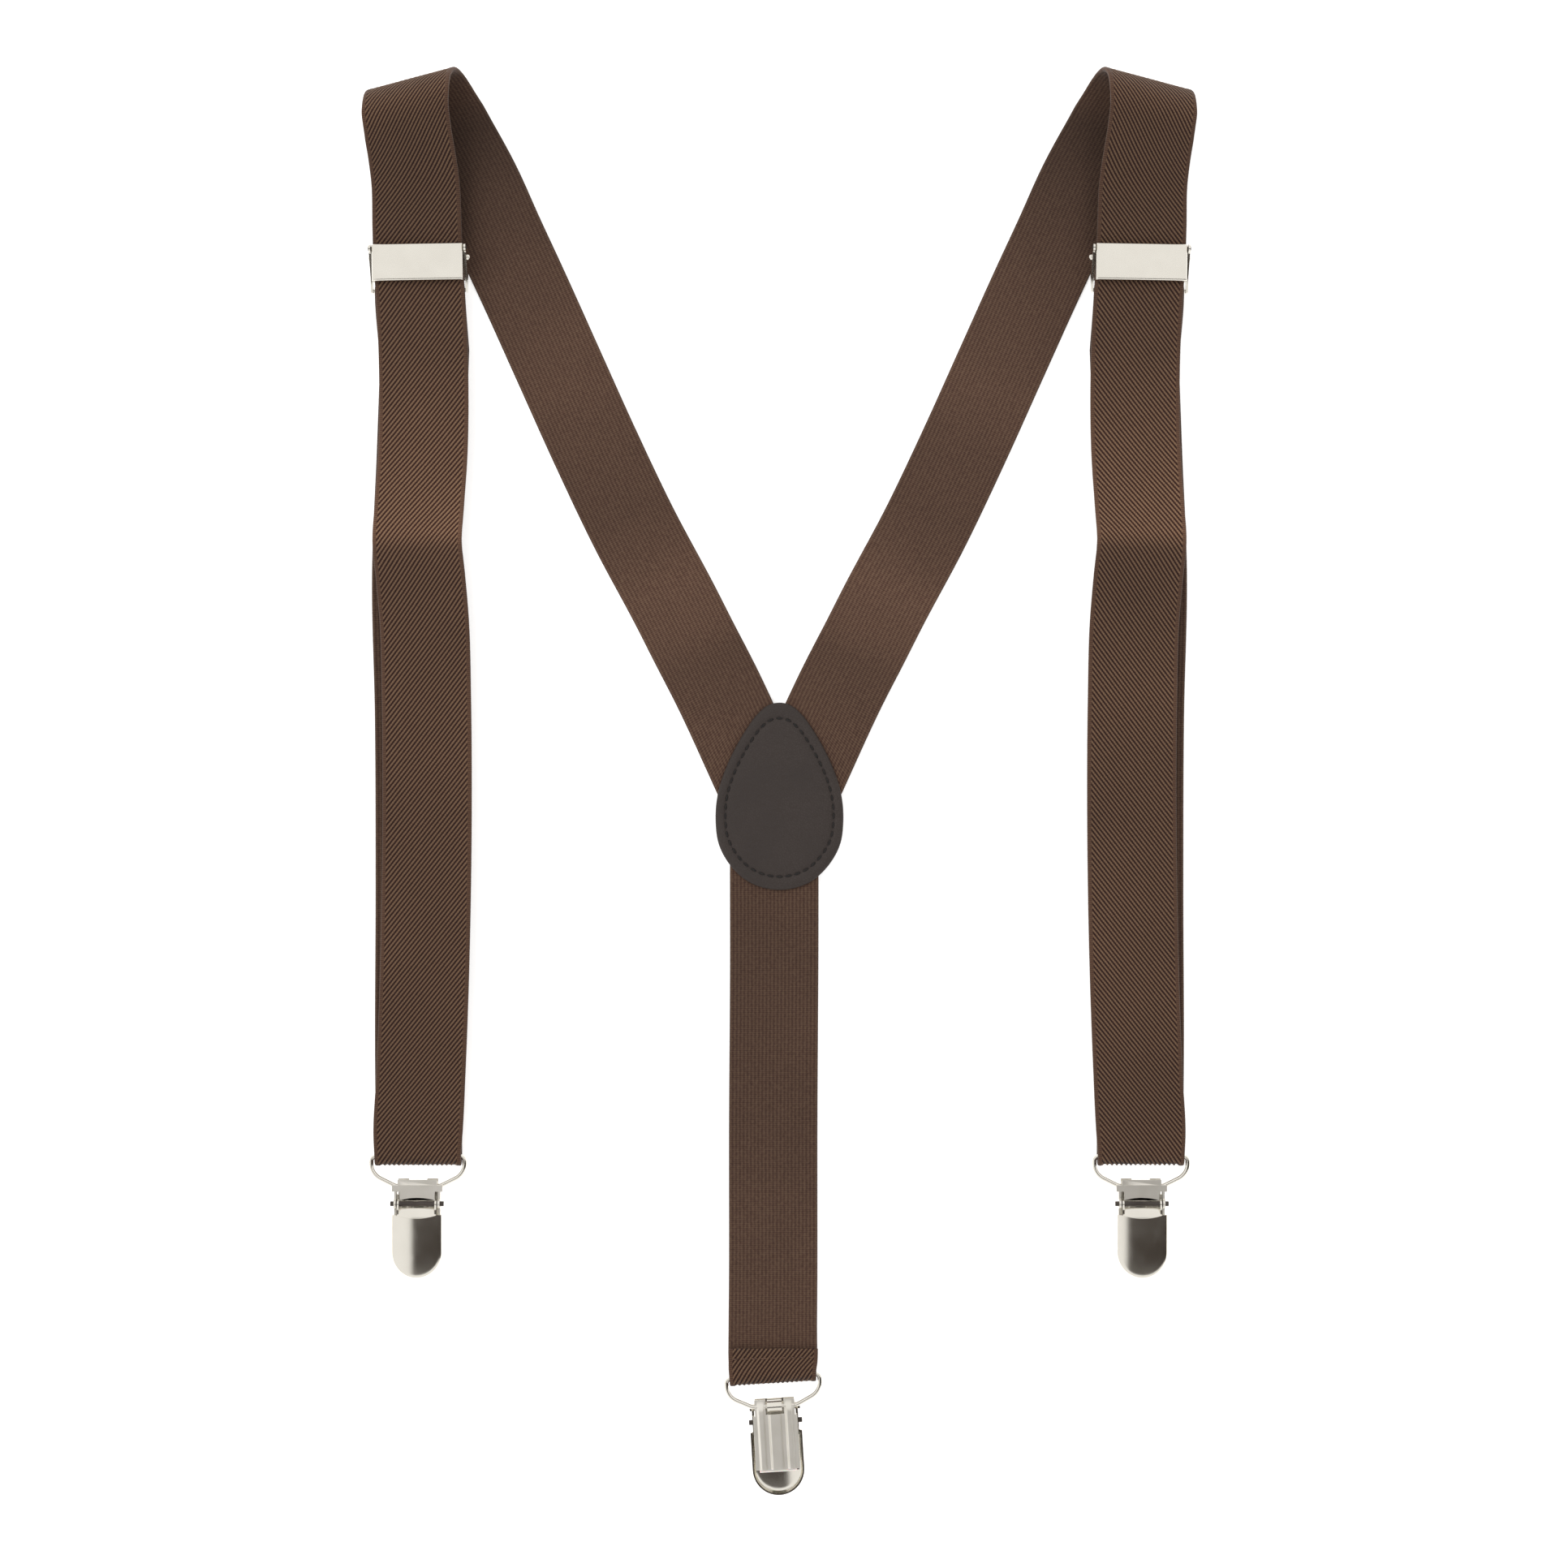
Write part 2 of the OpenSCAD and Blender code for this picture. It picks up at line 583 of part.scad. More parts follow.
at_back_clip() clip_grip();  // clip_grip_back
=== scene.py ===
# %% [markdown]
# # Y-back clip suspenders, lying flat
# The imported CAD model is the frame: it says where every piece lies and how it moves.
# This lesson loads it, keeps its size, and then builds each real piece over it, from the
# camera and the light to the webbing, the crotch patch, the adjusters and the clips.

# %% Load the frame
import math
import bpy
import bmesh
import numpy as np
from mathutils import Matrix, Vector


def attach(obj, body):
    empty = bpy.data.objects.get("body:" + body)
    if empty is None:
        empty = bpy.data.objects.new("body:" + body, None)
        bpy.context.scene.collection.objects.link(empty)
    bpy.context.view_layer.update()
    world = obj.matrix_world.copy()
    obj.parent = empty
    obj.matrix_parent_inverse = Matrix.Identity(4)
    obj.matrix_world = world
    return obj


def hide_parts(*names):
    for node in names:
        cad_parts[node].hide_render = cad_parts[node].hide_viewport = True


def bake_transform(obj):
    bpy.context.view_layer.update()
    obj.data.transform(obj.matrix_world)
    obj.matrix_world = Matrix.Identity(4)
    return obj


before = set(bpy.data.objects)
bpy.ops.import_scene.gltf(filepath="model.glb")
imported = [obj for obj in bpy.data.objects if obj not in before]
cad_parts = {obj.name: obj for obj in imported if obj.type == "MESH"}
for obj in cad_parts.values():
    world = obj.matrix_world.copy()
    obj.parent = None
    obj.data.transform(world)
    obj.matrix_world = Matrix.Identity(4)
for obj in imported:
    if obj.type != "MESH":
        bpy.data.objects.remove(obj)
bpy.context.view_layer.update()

MM = 0.001

# %% [markdown]
# ## Camera, floor and light
# The suspenders are seen from straight above, so the camera hangs over the middle of the
# table and looks down. The table is a plain pale sheet that gives a little light of its own,
# which keeps the shadows faint. Metal shows what is round it, so the pale sky has one dark
# card in it, low on the right, and each domed clip picks up that card's soft edge. The lamps
# themselves are kept out of the reflections.

# %% Camera
CAMERA_HEIGHT = 750 * MM
VIEW_WIDTH = 450.2 * MM
camera_data = bpy.data.cameras.new("camera")
camera_data.sensor_width = 36
camera_data.lens = camera_data.sensor_width * CAMERA_HEIGHT / VIEW_WIDTH
camera = bpy.data.objects.new("camera", camera_data)
bpy.context.scene.collection.objects.link(camera)
camera.location = (1.3 * MM, -0.3 * MM, CAMERA_HEIGHT)
bpy.context.scene.camera = camera
bpy.context.scene.view_settings.view_transform = "Standard"
print("lens", round(camera_data.lens, 1), "mm")


# %% Node helpers
def new_material(name):
    material = bpy.data.materials.new(name)
    material.use_nodes = True
    tree = material.node_tree
    return material, tree, tree.nodes["Principled BSDF"]


def node(tree, kind, **settings):
    made = tree.nodes.new("ShaderNode" + kind)
    for key, value in settings.items():
        setattr(made, key, value)
    return made


def maths(tree, operation, a, b=None):
    """A Math node on two sockets or numbers; returns its output."""
    made = node(tree, "Math", operation=operation)
    for socket, value in zip(made.inputs, (a, b)):
        if value is None:
            continue
        if isinstance(value, (int, float)):
            socket.default_value = value
        else:
            tree.links.new(value, socket)
    return made.outputs[0]


def ramp(tree, factor, stops):
    """A Color Ramp through stops of (position, (r, g, b))."""
    made = node(tree, "ValToRGB")
    elements = made.color_ramp.elements
    while len(elements) < len(stops):
        elements.new(0.5)
    for element, (place, colour) in zip(elements, stops):
        element.position = place
        element.color = (*colour, 1)
    tree.links.new(factor, made.inputs["Fac"])
    return made.outputs["Color"]


def noise(tree, vector, scale, detail=2.0):
    made = node(tree, "TexNoise")
    made.inputs["Scale"].default_value = scale
    made.inputs["Detail"].default_value = detail
    tree.links.new(vector, made.inputs["Vector"])
    return made.outputs["Fac"]


def mix_colour(tree, factor, a, b):
    made = node(tree, "Mix", data_type="RGBA")
    for socket, value in ((made.inputs["Factor"], factor), (made.inputs["A"], a), (made.inputs["B"], b)):
        if isinstance(value, (int, float)):
            socket.default_value = value
        elif isinstance(value, tuple):
            socket.default_value = (*value, 1)
        else:
            tree.links.new(value, socket)
    return made.outputs["Result"]


def bump(tree, shader, height, distance):
    made = node(tree, "Bump")
    made.inputs["Strength"].default_value = 1
    made.inputs["Distance"].default_value = distance
    tree.links.new(height, made.inputs["Height"])
    tree.links.new(made.outputs["Normal"], shader.inputs["Normal"])


def show(name, made):
    """Adds a mesh to the scene as an object of this name."""
    piece = bpy.data.objects.new(name, made)
    bpy.context.scene.collection.objects.link(piece)
    return piece


# %% Floor
FLOOR_SIDE = 6
FLOOR_GLOW = 0.52


def make_floor():
    bpy.ops.mesh.primitive_plane_add(size=FLOOR_SIDE)
    floor = bpy.context.object
    floor.name = "floor"
    material, tree, shader = new_material("pale table")
    coords = node(tree, "TexCoord").outputs["Object"]
    pale = ramp(tree, noise(tree, coords, 3.0), [(0.3, (0.86, 0.86, 0.86)), (0.7, (0.88, 0.88, 0.88))])
    tree.links.new(pale, shader.inputs["Base Color"])
    shader.inputs["Roughness"].default_value = 0.6
    shader.inputs["Emission Color"].default_value = (1, 1, 1, 1)
    shader.inputs["Emission Strength"].default_value = FLOOR_GLOW
    floor.data.materials.append(material)


make_floor()
print("floor", FLOOR_SIDE, "m square")

# %% Light
SKY = (1.0, 0.985, 0.96)
SKY_STRENGTH = 0.9
DARK_CARD = (0.03, 0.02, 0.014)
CARD_EDGES = (("X", -0.3, -0.17), ("Y", -0.02, -0.08), ("Y", -0.42, -0.35))


def area_light(name, place, aim, size, power):
    data = bpy.data.lights.new(name, "AREA")
    data.shape = "RECTANGLE"
    data.size, data.size_y = size
    data.energy = power
    light = bpy.data.objects.new(name, data)
    bpy.context.scene.collection.objects.link(light)
    light.location = place
    light.rotation_euler = (Vector(aim) - Vector(place)).to_track_quat("-Z", "Y").to_euler()
    light.visible_glossy = False
    print(name, "lamp", power, "W")


def make_sky():
    world = bpy.data.worlds.new("studio")
    world.use_nodes = True
    bpy.context.scene.world = world
    tree = world.node_tree
    direction = node(tree, "TexCoord").outputs["Generated"]
    apart = node(tree, "SeparateXYZ")
    tree.links.new(direction, apart.inputs[0])
    dark = 1.0
    for axis, start, end in CARD_EDGES:
        edge = node(tree, "MapRange", interpolation_type="SMOOTHSTEP")
        edge.inputs["From Min"].default_value = start
        edge.inputs["From Max"].default_value = end
        tree.links.new(apart.outputs[axis], edge.inputs["Value"])
        dark = maths(tree, "MULTIPLY", edge.outputs[0], dark)
    background = tree.nodes["Background"]
    tree.links.new(mix_colour(tree, dark, SKY, DARK_CARD), background.inputs["Color"])
    background.inputs["Strength"].default_value = SKY_STRENGTH


make_sky()
area_light("window", (-0.9, 0.5, 1.3), (0, 0, 0), (1.2, 1.2), 10)
area_light("fill", (0.9, -0.5, 1.3), (0, 0, 0), (1.0, 1.0), 5)

# %% [markdown]
# ## Webbing: from a flat ribbon to a folded strap
# Elastic webbing bends easily one way and hardly at all the other, so a strap is drawn as a
# line of stations: the middle of the webbing, and the angle of the straight line across it.
# A smooth curve runs through the stations. Every point of the flat ribbon has a distance
# along it and a distance across it, and the ribbon turns those two numbers into a place.


# %% A smooth line through stations
def smooth_through(points, step):
    """A curve through the points (rows of any width), as rows at every step of its length."""
    p = np.array(points, float)
    gap = np.linalg.norm(np.diff(p[:, :3], axis=0), axis=1)
    at = np.concatenate([[0], np.cumsum(gap)])
    slope = np.gradient(p, at, axis=0)
    s = np.arange(0, at[-1], step)
    i = np.clip(np.searchsorted(at, s, side="right") - 1, 0, len(p) - 2)
    h = (at[i + 1] - at[i])[:, None]
    t = ((s - at[i]) / (at[i + 1] - at[i]))[:, None]
    a, b, ma, mb = p[i], p[i + 1], slope[i] * h, slope[i + 1] * h
    curve = (a * (2 * t**3 - 3 * t**2 + 1) + ma * (t**3 - 2 * t**2 + t)
             + b * (3 * t**2 - 2 * t**3) + mb * (t**3 - t**2))
    return np.vstack([curve, p[-1:]])


# %% The ribbon
PATH_STEP = 0.2


class Ribbon:
    """The middle line of a strip of webbing. Stations are (x, y, z, angle across, width), in mm."""

    def __init__(self, stations):
        rows = smooth_through(stations, PATH_STEP)
        middle = rows[:, :3]
        self.s = np.concatenate([[0], np.cumsum(np.linalg.norm(np.diff(middle, axis=0), axis=1))])
        self.length = self.s[-1]
        across = np.radians(rows[:, 3])
        e = np.stack([np.cos(across), np.sin(across), np.zeros(len(rows))], axis=1)
        run = np.gradient(middle, self.s, axis=0)
        run /= np.linalg.norm(run, axis=1)[:, None]
        side = np.cross(e, run)
        skew = np.linalg.norm(side, axis=1)
        self.table = np.hstack([middle, e / skew[:, None], side / skew[:, None], rows[:, 4:5]])

    def place(self, s, v, lift):
        """Where the flat point (s, v) lies, lifted off the middle surface by lift, all in mm.
        v runs from -0.5 to 0.5 across the width."""
        cols = [np.interp(s, self.s, self.table[:, k]) for k in range(10)]
        middle, e, n, width = cols[0:3], cols[3:6], cols[6:9], cols[9]
        return np.stack([middle[k] + e[k] * v * width + n[k] * lift for k in range(3)], axis=-1)


# %% [markdown]
# ## Webbing: the twill face and the ribbed face
# The outer face is a twill: thick diagonal ridges about a millimetre apart, between two plain
# selvedges. The inner face has fine ribs along its length. Both could be painted on with bump,
# but their ridges break up the strap's outline, so they are real relief here. The trick is to
# lay the rows of the outer grid along the twill itself: four rows then draw one whole ridge,
# and a long strap stays light. The inner grid runs straight, with four columns to each rib.
# Between the two, each edge is closed by thin many-sided faces.

# %% Weave measures
WEBBING_W = 25.4
WEBBING_T = 1.2
ROWS_PER_RIDGE = 4
INNER_EVERY = 8
EDGE_STEPS = 10
TWILL_RISE = 1.28
ROW_STEP = WEBBING_W * TWILL_RISE / (INNER_EVERY * EDGE_STEPS)
RIDGE_RELIEF = 0.2
RIB_COUNT = 24
RIB_RELIEF = 0.05
SELVEDGE = 1.1
SELVEDGE_STEP = 0.35
EDGE_RADIUS = 0.5
EDGE_DROP = 0.8
print("twill ridge every", round(ROWS_PER_RIDGE * ROW_STEP, 2), "mm along the strap")


# %% Grids of the two faces
def outer_columns():
    """Places across the outer face, from -0.5 to 0.5, closer together at the selvedges."""
    edge = [0, 0.12, 0.35, 0.7, SELVEDGE, SELVEDGE + SELVEDGE_STEP]
    middle = np.linspace(edge[-1], WEBBING_W - edge[-1], 17)[1:-1]
    mm = np.concatenate([edge, middle, WEBBING_W - np.array(edge[::-1])])
    return mm / WEBBING_W - 0.5


def rounded(v, thickness):
    """Half thickness near a selvedge: the edge is round, the rest is flat."""
    inwards = (0.5 - np.abs(v)) * WEBBING_W
    reach = np.clip(EDGE_RADIUS - inwards, 0, EDGE_RADIUS)
    drop = EDGE_RADIUS - np.sqrt(np.clip(EDGE_RADIUS**2 - reach**2, 0, None))
    return thickness / 2 - drop * EDGE_DROP


def face_grid(rows, columns, start):
    """Quads between neighbouring rows and columns of a grid of points."""
    i = np.arange(rows - 1)[:, None] * columns + np.arange(columns - 1)[None, :] + start
    i = i.ravel()
    return np.stack([i, i + 1, i + columns + 1, i + columns], axis=1)


def outer_face(ribbon, rows, stretch, lean):
    """The twill face: its points, its (across, along) in mm, and each row's number."""
    columns = outer_columns()
    end = (rows - 1) * ROW_STEP
    r = np.arange(-INNER_EVERY * EDGE_STEPS // 2, rows + INNER_EVERY * EDGE_STEPS // 2 + 1)
    s = np.clip(r[:, None] * ROW_STEP + lean * TWILL_RISE * columns[None, :] * WEBBING_W, 0, end)
    v = np.broadcast_to(columns, s.shape)
    twill = np.clip(((0.5 - np.abs(v)) * WEBBING_W - SELVEDGE) / SELVEDGE_STEP, 0, 1)
    ridge = np.array([0, 0.72, 1, 0.72])[r % ROWS_PER_RIDGE][:, None]
    ridge = np.where((s <= 0) | (s >= end), 0.5, ridge)
    lift = rounded(v, WEBBING_T) - RIDGE_RELIEF * twill * (1 - ridge)
    return ribbon.place(s * stretch, v, lift), np.stack([v * WEBBING_W, s], axis=-1), r


def inner_face(ribbon, rows, stretch):
    """The ribbed face: its points and its (across, along) in mm."""
    ribs = np.linspace(-0.5, 0.5, RIB_COUNT * 4 + 1)
    s = np.broadcast_to((np.arange(0, rows, INNER_EVERY) * ROW_STEP)[:, None],
                        ((rows - 1) // INNER_EVERY + 1, len(ribs)))
    v = np.broadcast_to(ribs, s.shape)
    rib = 0.5 - 0.5 * np.cos(2 * np.pi * RIB_COUNT * (v + 0.5))
    lift = RIB_RELIEF * (1 - rib) - rounded(v, WEBBING_T)
    return ribbon.place(s * stretch, v, lift), np.stack([v * WEBBING_W, s], axis=-1)


# %% Joining the two faces
def edge_walls(row_numbers, outer_columns_v, inner_shape, lean):
    """Faces that close both edges, from the outer rows that fall on each pair of inner rows."""
    columns = len(outer_columns_v)
    far = len(row_numbers) * columns
    walls = []
    for side, column, inner_column in ((-1, 0, 0), (1, columns - 1, inner_shape[1] - 1)):
        along = row_numbers * ROW_STEP + lean * TWILL_RISE * outer_columns_v[column] * WEBBING_W
        first = int(np.argmax(along > -ROW_STEP / 2))
        for k in range(inner_shape[0] - 1):
            edge = [(first + k * INNER_EVERY + j) * columns + column for j in range(INNER_EVERY + 1)]
            back = [far + (k + i) * inner_shape[1] + inner_column for i in (1, 0)]
            walls.append(edge + back if side < 0 else (edge + back)[::-1])
    return walls


def cleaned(mesh, gap, fill=False):
    """Joins points closer than gap, closes holes if asked, and turns every face outwards."""
    work = bmesh.new()
    work.from_mesh(mesh)
    bmesh.ops.remove_doubles(work, verts=work.verts, dist=gap)
    if fill:
        bmesh.ops.holes_fill(work, edges=[edge for edge in work.edges if edge.is_boundary], sides=0)
    bmesh.ops.recalc_face_normals(work, faces=work.faces)
    work.to_mesh(mesh)
    work.free()


def webbing_mesh(name, ribbon, lean):
    """One strip of webbing. lean is +1 or -1, the way the twill runs."""
    rows = round(ribbon.length / ROW_STEP / INNER_EVERY) * INNER_EVERY + 1
    stretch = ribbon.length / ((rows - 1) * ROW_STEP)
    outer, outer_uv, row_numbers = outer_face(ribbon, rows, stretch, lean)
    inner, inner_uv = inner_face(ribbon, rows, stretch)
    outer_faces = face_grid(*outer.shape[:2], 0)
    inner_faces = face_grid(*inner.shape[:2], outer.shape[0] * outer.shape[1])[:, ::-1]
    walls = edge_walls(row_numbers, outer_columns(), inner.shape[:2], lean)
    points = np.vstack([outer.reshape(-1, 3), inner.reshape(-1, 3)]) * MM
    uv = np.vstack([outer_uv.reshape(-1, 2), inner_uv.reshape(-1, 2)])

    mesh = bpy.data.meshes.new(name)
    mesh.from_pydata(points.tolist(), [], [*outer_faces.tolist(), *inner_faces.tolist(), *walls])
    layer = mesh.uv_layers.new(name="weave")
    corner_points = np.zeros(len(mesh.loops), np.int32)
    mesh.loops.foreach_get("vertex_index", corner_points)
    layer.data.foreach_set("uv", uv[corner_points].astype(np.float32).ravel())
    index = np.zeros(len(mesh.polygons), np.int32)
    index[len(outer_faces):len(outer_faces) + len(inner_faces)] = 1
    mesh.polygons.foreach_set("material_index", index)
    mesh.polygons.foreach_set("use_smooth", np.ones(len(mesh.polygons), bool))
    cleaned(mesh, 1e-7, fill=True)
    print(name, round(ribbon.length, 1), "mm long,", len(mesh.vertices), "points")
    return show(name, mesh)


# %% [markdown]
# ## Webbing: the finishes
# Twill's colour follows the height of the weave, and much of that is painted light and shade:
# the floats on top are warm brown, with a little olive on their tops as painted highlight, and the
# grooves between them a dark red-brown as painted shade, since less light reaches the bottom.
# Each ridge is a row of short floats, so a second wave along the ridge makes beads, half a bead
# further on from ridge to ridge. All waves run on the weave's own coordinates, in millimetres, so
# the pattern follows the webbing round every bend.


# %% Painted light and shade in bands along the webbing
PATCHY = 0.07
LONGEST = 600
# painted light and shade along the twill face: tones under 1 are painted shade beside the creases, tones
# over 1 painted light where a crease faces the lamp
TWILL_PAINTED_BANDS = [(0, 0.7), (30, 0.7), (60, 0.77), (80, 0.78), (105, 0.72), (140, 0.84), (160, 0.76),
               (172, 0.7), (182.5, 0.76), (187, 1.26), (200, 1.13), (222, 0.91), (240, 0.75),
               (280, 0.64), (305, 0.66), (312, 0.88)]
# painted light and shade along the ribbed face; the dip near 342 mm is painted shadow under the front run's
# fold
RIBBED_PAINTED_BANDS = [(0, 0.79), (100, 0.78), (125, 0.85), (150, 0.87), (300, 0.88), (332, 0.75),
                (342, 0.51), (352, 0.56), (370, 0.7), (385, 0.85), (400, 0.93), (422, 1.02),
                (445, 0.89), (462, 0.85), (474, 1.0), (486, 1.23), (500, 1.1), (510, 0.86), (530, 0.93)]


# %% Waves on the weave's own coordinates
def weave_coordinates(tree):
    """Two sockets: millimetres across the webbing from its middle, and millimetres along it."""
    uv = node(tree, "UVMap", uv_map="weave")
    apart = node(tree, "SeparateXYZ")
    tree.links.new(uv.outputs[0], apart.inputs[0])
    return apart.outputs["X"], apart.outputs["Y"]


def wave(tree, value, pitch):
    """0 at every whole pitch and 1 half way between."""
    turns = maths(tree, "MULTIPLY", value, 2 * math.pi / pitch)
    return maths(tree, "ADD", maths(tree, "MULTIPLY", maths(tree, "COSINE", turns), -0.5), 0.5)


def toned(tree, colour, tone):
    """A colour times a tone near 1."""
    made = node(tree, "Mix", data_type="RGBA", blend_type="MULTIPLY")
    made.inputs["Factor"].default_value = 1
    tree.links.new(colour, made.inputs["A"])
    tree.links.new(tone, made.inputs["B"])
    return made.outputs["Result"]


def patchy_with_painted_bands(tree, colour, along, painted_band_stops):
    """Soft lighter and darker patches, and bands of painted light and shade along the strap,
    where its creases and the fold over the shoulder catch or lose the light.
    The stops are (mm along the strap, tone)."""
    where = node(tree, "TexCoord").outputs["Object"]
    patches = ramp(tree, noise(tree, where, 28, 3), [(0.3, (1 - PATCHY,) * 3), (0.7, (1 + PATCHY,) * 3)])
    stops = [(s / LONGEST, (tone, tone, tone)) for s, tone in painted_band_stops]
    # these bands are painted light and shade along the strap, from the stops above
    bands = ramp(tree, maths(tree, "DIVIDE", along, LONGEST), stops)
    return toned(tree, toned(tree, colour, patches), bands)


def mix_values(tree, factor, a, b):
    made = node(tree, "Mix", data_type="FLOAT")
    for socket, value in zip((made.inputs[0], made.inputs[2], made.inputs[3]), (factor, a, b)):
        tree.links.new(value, socket)
    return made.outputs[0]


def grained(tree, height, scale, detail, amount):
    """A height with the fine unevenness of fibres added."""
    fibres = noise(tree, node(tree, "TexCoord").outputs["Object"], scale, detail)
    return maths(tree, "ADD", height, maths(tree, "MULTIPLY", maths(tree, "SUBTRACT", fibres, 0.5), amount))


def fabric_shader(shader):
    shader.inputs["Roughness"].default_value = 0.85
    shader.inputs["Sheen Weight"].default_value = 0.15
    shader.inputs["Sheen Roughness"].default_value = 0.5
    shader.inputs["Specular IOR Level"].default_value = 0.25


# %% The twill face
# colour by the weave's height: the darkest stop, in the grooves, is painted shade and the light olive stop
# on the floats' tops is painted highlight; the selvedge's ramp is darker in its cross-rib hollows as
# painted shade
TWILL_LIT_AND_SHADED_COLOURS = [(0.05, (0.018, 0.006, 0.004)), (0.35, (0.08, 0.034, 0.02)), (0.85, (0.196, 0.12, 0.071))]
SELVEDGE_SHADED_COLOURS = [(0.1, (0.075, 0.035, 0.022)), (0.9, (0.125, 0.068, 0.041))]
RIDGE_PITCH = ROWS_PER_RIDGE * ROW_STEP
BEAD_PITCH = 0.95
BEAD_SHARE = 0.28


def twill_material(name, lean):
    material, tree, shader = new_material(name)
    across, along = weave_coordinates(tree)
    slant = maths(tree, "SUBTRACT", along, maths(tree, "MULTIPLY", across, lean * TWILL_RISE))
    other = maths(tree, "ADD", along, maths(tree, "MULTIPLY", across, lean))
    ridge = wave(tree, slant, RIDGE_PITCH)
    step = maths(tree, "FLOOR", maths(tree, "DIVIDE", slant, RIDGE_PITCH))
    beads = wave(tree, maths(tree, "ADD", other, maths(tree, "MULTIPLY", step, BEAD_PITCH / 2)), BEAD_PITCH)
    bead = maths(tree, "ADD", maths(tree, "MULTIPLY", beads, BEAD_SHARE), 1 - BEAD_SHARE)
    float_height = maths(tree, "MULTIPLY", ridge, bead)
    plain = maths(tree, "GREATER_THAN", maths(tree, "ABSOLUTE", across), WEBBING_W / 2 - SELVEDGE)
    cross_rib = wave(tree, along, RIDGE_PITCH / 3)
    height = mix_values(tree, plain, float_height, cross_rib)
    uneven = grained(tree, height, 2600, 2, 0.5)
    colour = ramp(tree, uneven, TWILL_LIT_AND_SHADED_COLOURS)
    edge = ramp(tree, uneven, SELVEDGE_SHADED_COLOURS)
    whole = patchy_with_painted_bands(tree, mix_colour(tree, plain, colour, edge), along, TWILL_PAINTED_BANDS)
    tree.links.new(whole, shader.inputs["Base Color"])
    fabric_shader(shader)
    bump(tree, shader, uneven, 0.07 * MM)
    return material


# %% The ribbed face
# colour by the height of ribs and weft: the dark stop in the hollows is painted shade; the fibre mottling
# on top is the webbing's own uneven tone
RIBBED_SHADED_COLOURS = [(0.1, (0.05, 0.024, 0.016)), (0.5, (0.088, 0.047, 0.031)), (0.9, (0.118, 0.072, 0.046))]
WEFT_PITCH = 0.55


def ribbed_material(name):
    material, tree, shader = new_material(name)
    across, along = weave_coordinates(tree)
    rib = wave(tree, maths(tree, "ADD", across, WEBBING_W / 2), WEBBING_W / RIB_COUNT)
    weft = wave(tree, along, WEFT_PITCH)
    height = maths(tree, "ADD", maths(tree, "MULTIPLY", rib, 0.45), maths(tree, "MULTIPLY", weft, 0.45))
    uneven = grained(tree, height, 1500, 3, 1.1)
    whole = patchy_with_painted_bands(tree, ramp(tree, uneven, RIBBED_SHADED_COLOURS), along, RIBBED_PAINTED_BANDS)
    tree.links.new(whole, shader.inputs["Base Color"])
    fabric_shader(shader)
    bump(tree, shader, uneven, 0.06 * MM)
    return material


twill = {1: twill_material("twill leaning right", 1), -1: twill_material("twill leaning left", -1)}
ribbed = ribbed_material("ribbed webbing inside")


def finish_webbing(piece, lean):
    piece.data.materials.append(twill[lean])
    piece.data.materials.append(ribbed)


print("webbing finishes:", [material.name for material in (*twill.values(), ribbed)])


# %% [markdown]
# ## The two shoulder straps
# Each strap is one length of elastic webbing. It starts at its hem under the front clip, turns
# round the clip's wire, runs up the chest, folds over the shoulder and comes down the back on
# a slant, wrong side up, to the leatherette patch. The front run is never quite straight: it
# lies in a slow wave, with one soft crease left by its packaging. The right strap is the
# left one's mirror, and so is its twill.

# %% Measures of the lying webbing
FOLD_W = 24.4
HEM_W = 24.7
BAR_WRAP = 1.45
FRONT_BAR = (-103.3, -106.85, 2.82)
BACK_BAR = (-1.913, -169.416, 4.4)
BACK_TURN = 3.5
SLOT = (-102.85, 147.9)
SLIDE_ANGLE = 0.955
FRONT_Z = 6.2
LYING_Z = 0.6
PATCH_Z = 1.75
print("front layer", FRONT_Z, "mm up, back layer", LYING_Z, "mm up")


# %% Turns and folds as stations
def turn_round(bar, reach, angle=0.0, width=HEM_W):
    """Stations round a bar from below it to above it; reach is how far the turn stands off it."""
    stations = []
    for a in np.radians(np.arange(0, 181, 20)):
        out = reach * math.sin(a)
        lean = math.radians(angle)
        stations.append((bar[0] + out * math.sin(lean), bar[1] - out * math.cos(lean),
                         bar[2] - BAR_WRAP * math.cos(a), angle, width))
    return stations


def fold_over(centre, depth, carry, top, angle):
    """Stations over a fold lying at this angle, from the front layer down to the back layer."""
    lean = math.radians(angle)
    stations = []
    for a in range(0, 181, 15):
        height = (top + LYING_Z) / 2 + (top - LYING_Z) / 2 * math.cos(math.radians(a))
        inwards = depth * (1 - math.sin(math.radians(a)))
        along = carry * (a / 180 - 0.5)
        stations.append((centre[0] + inwards * math.sin(lean) + along * math.cos(lean),
                         centre[1] - inwards * math.cos(lean) + along * math.sin(lean),
                         height, angle, FOLD_W))
    return stations


def mirrored(stations):
    return [(-x, y, z, -angle, width) for x, y, z, angle, width in stations]


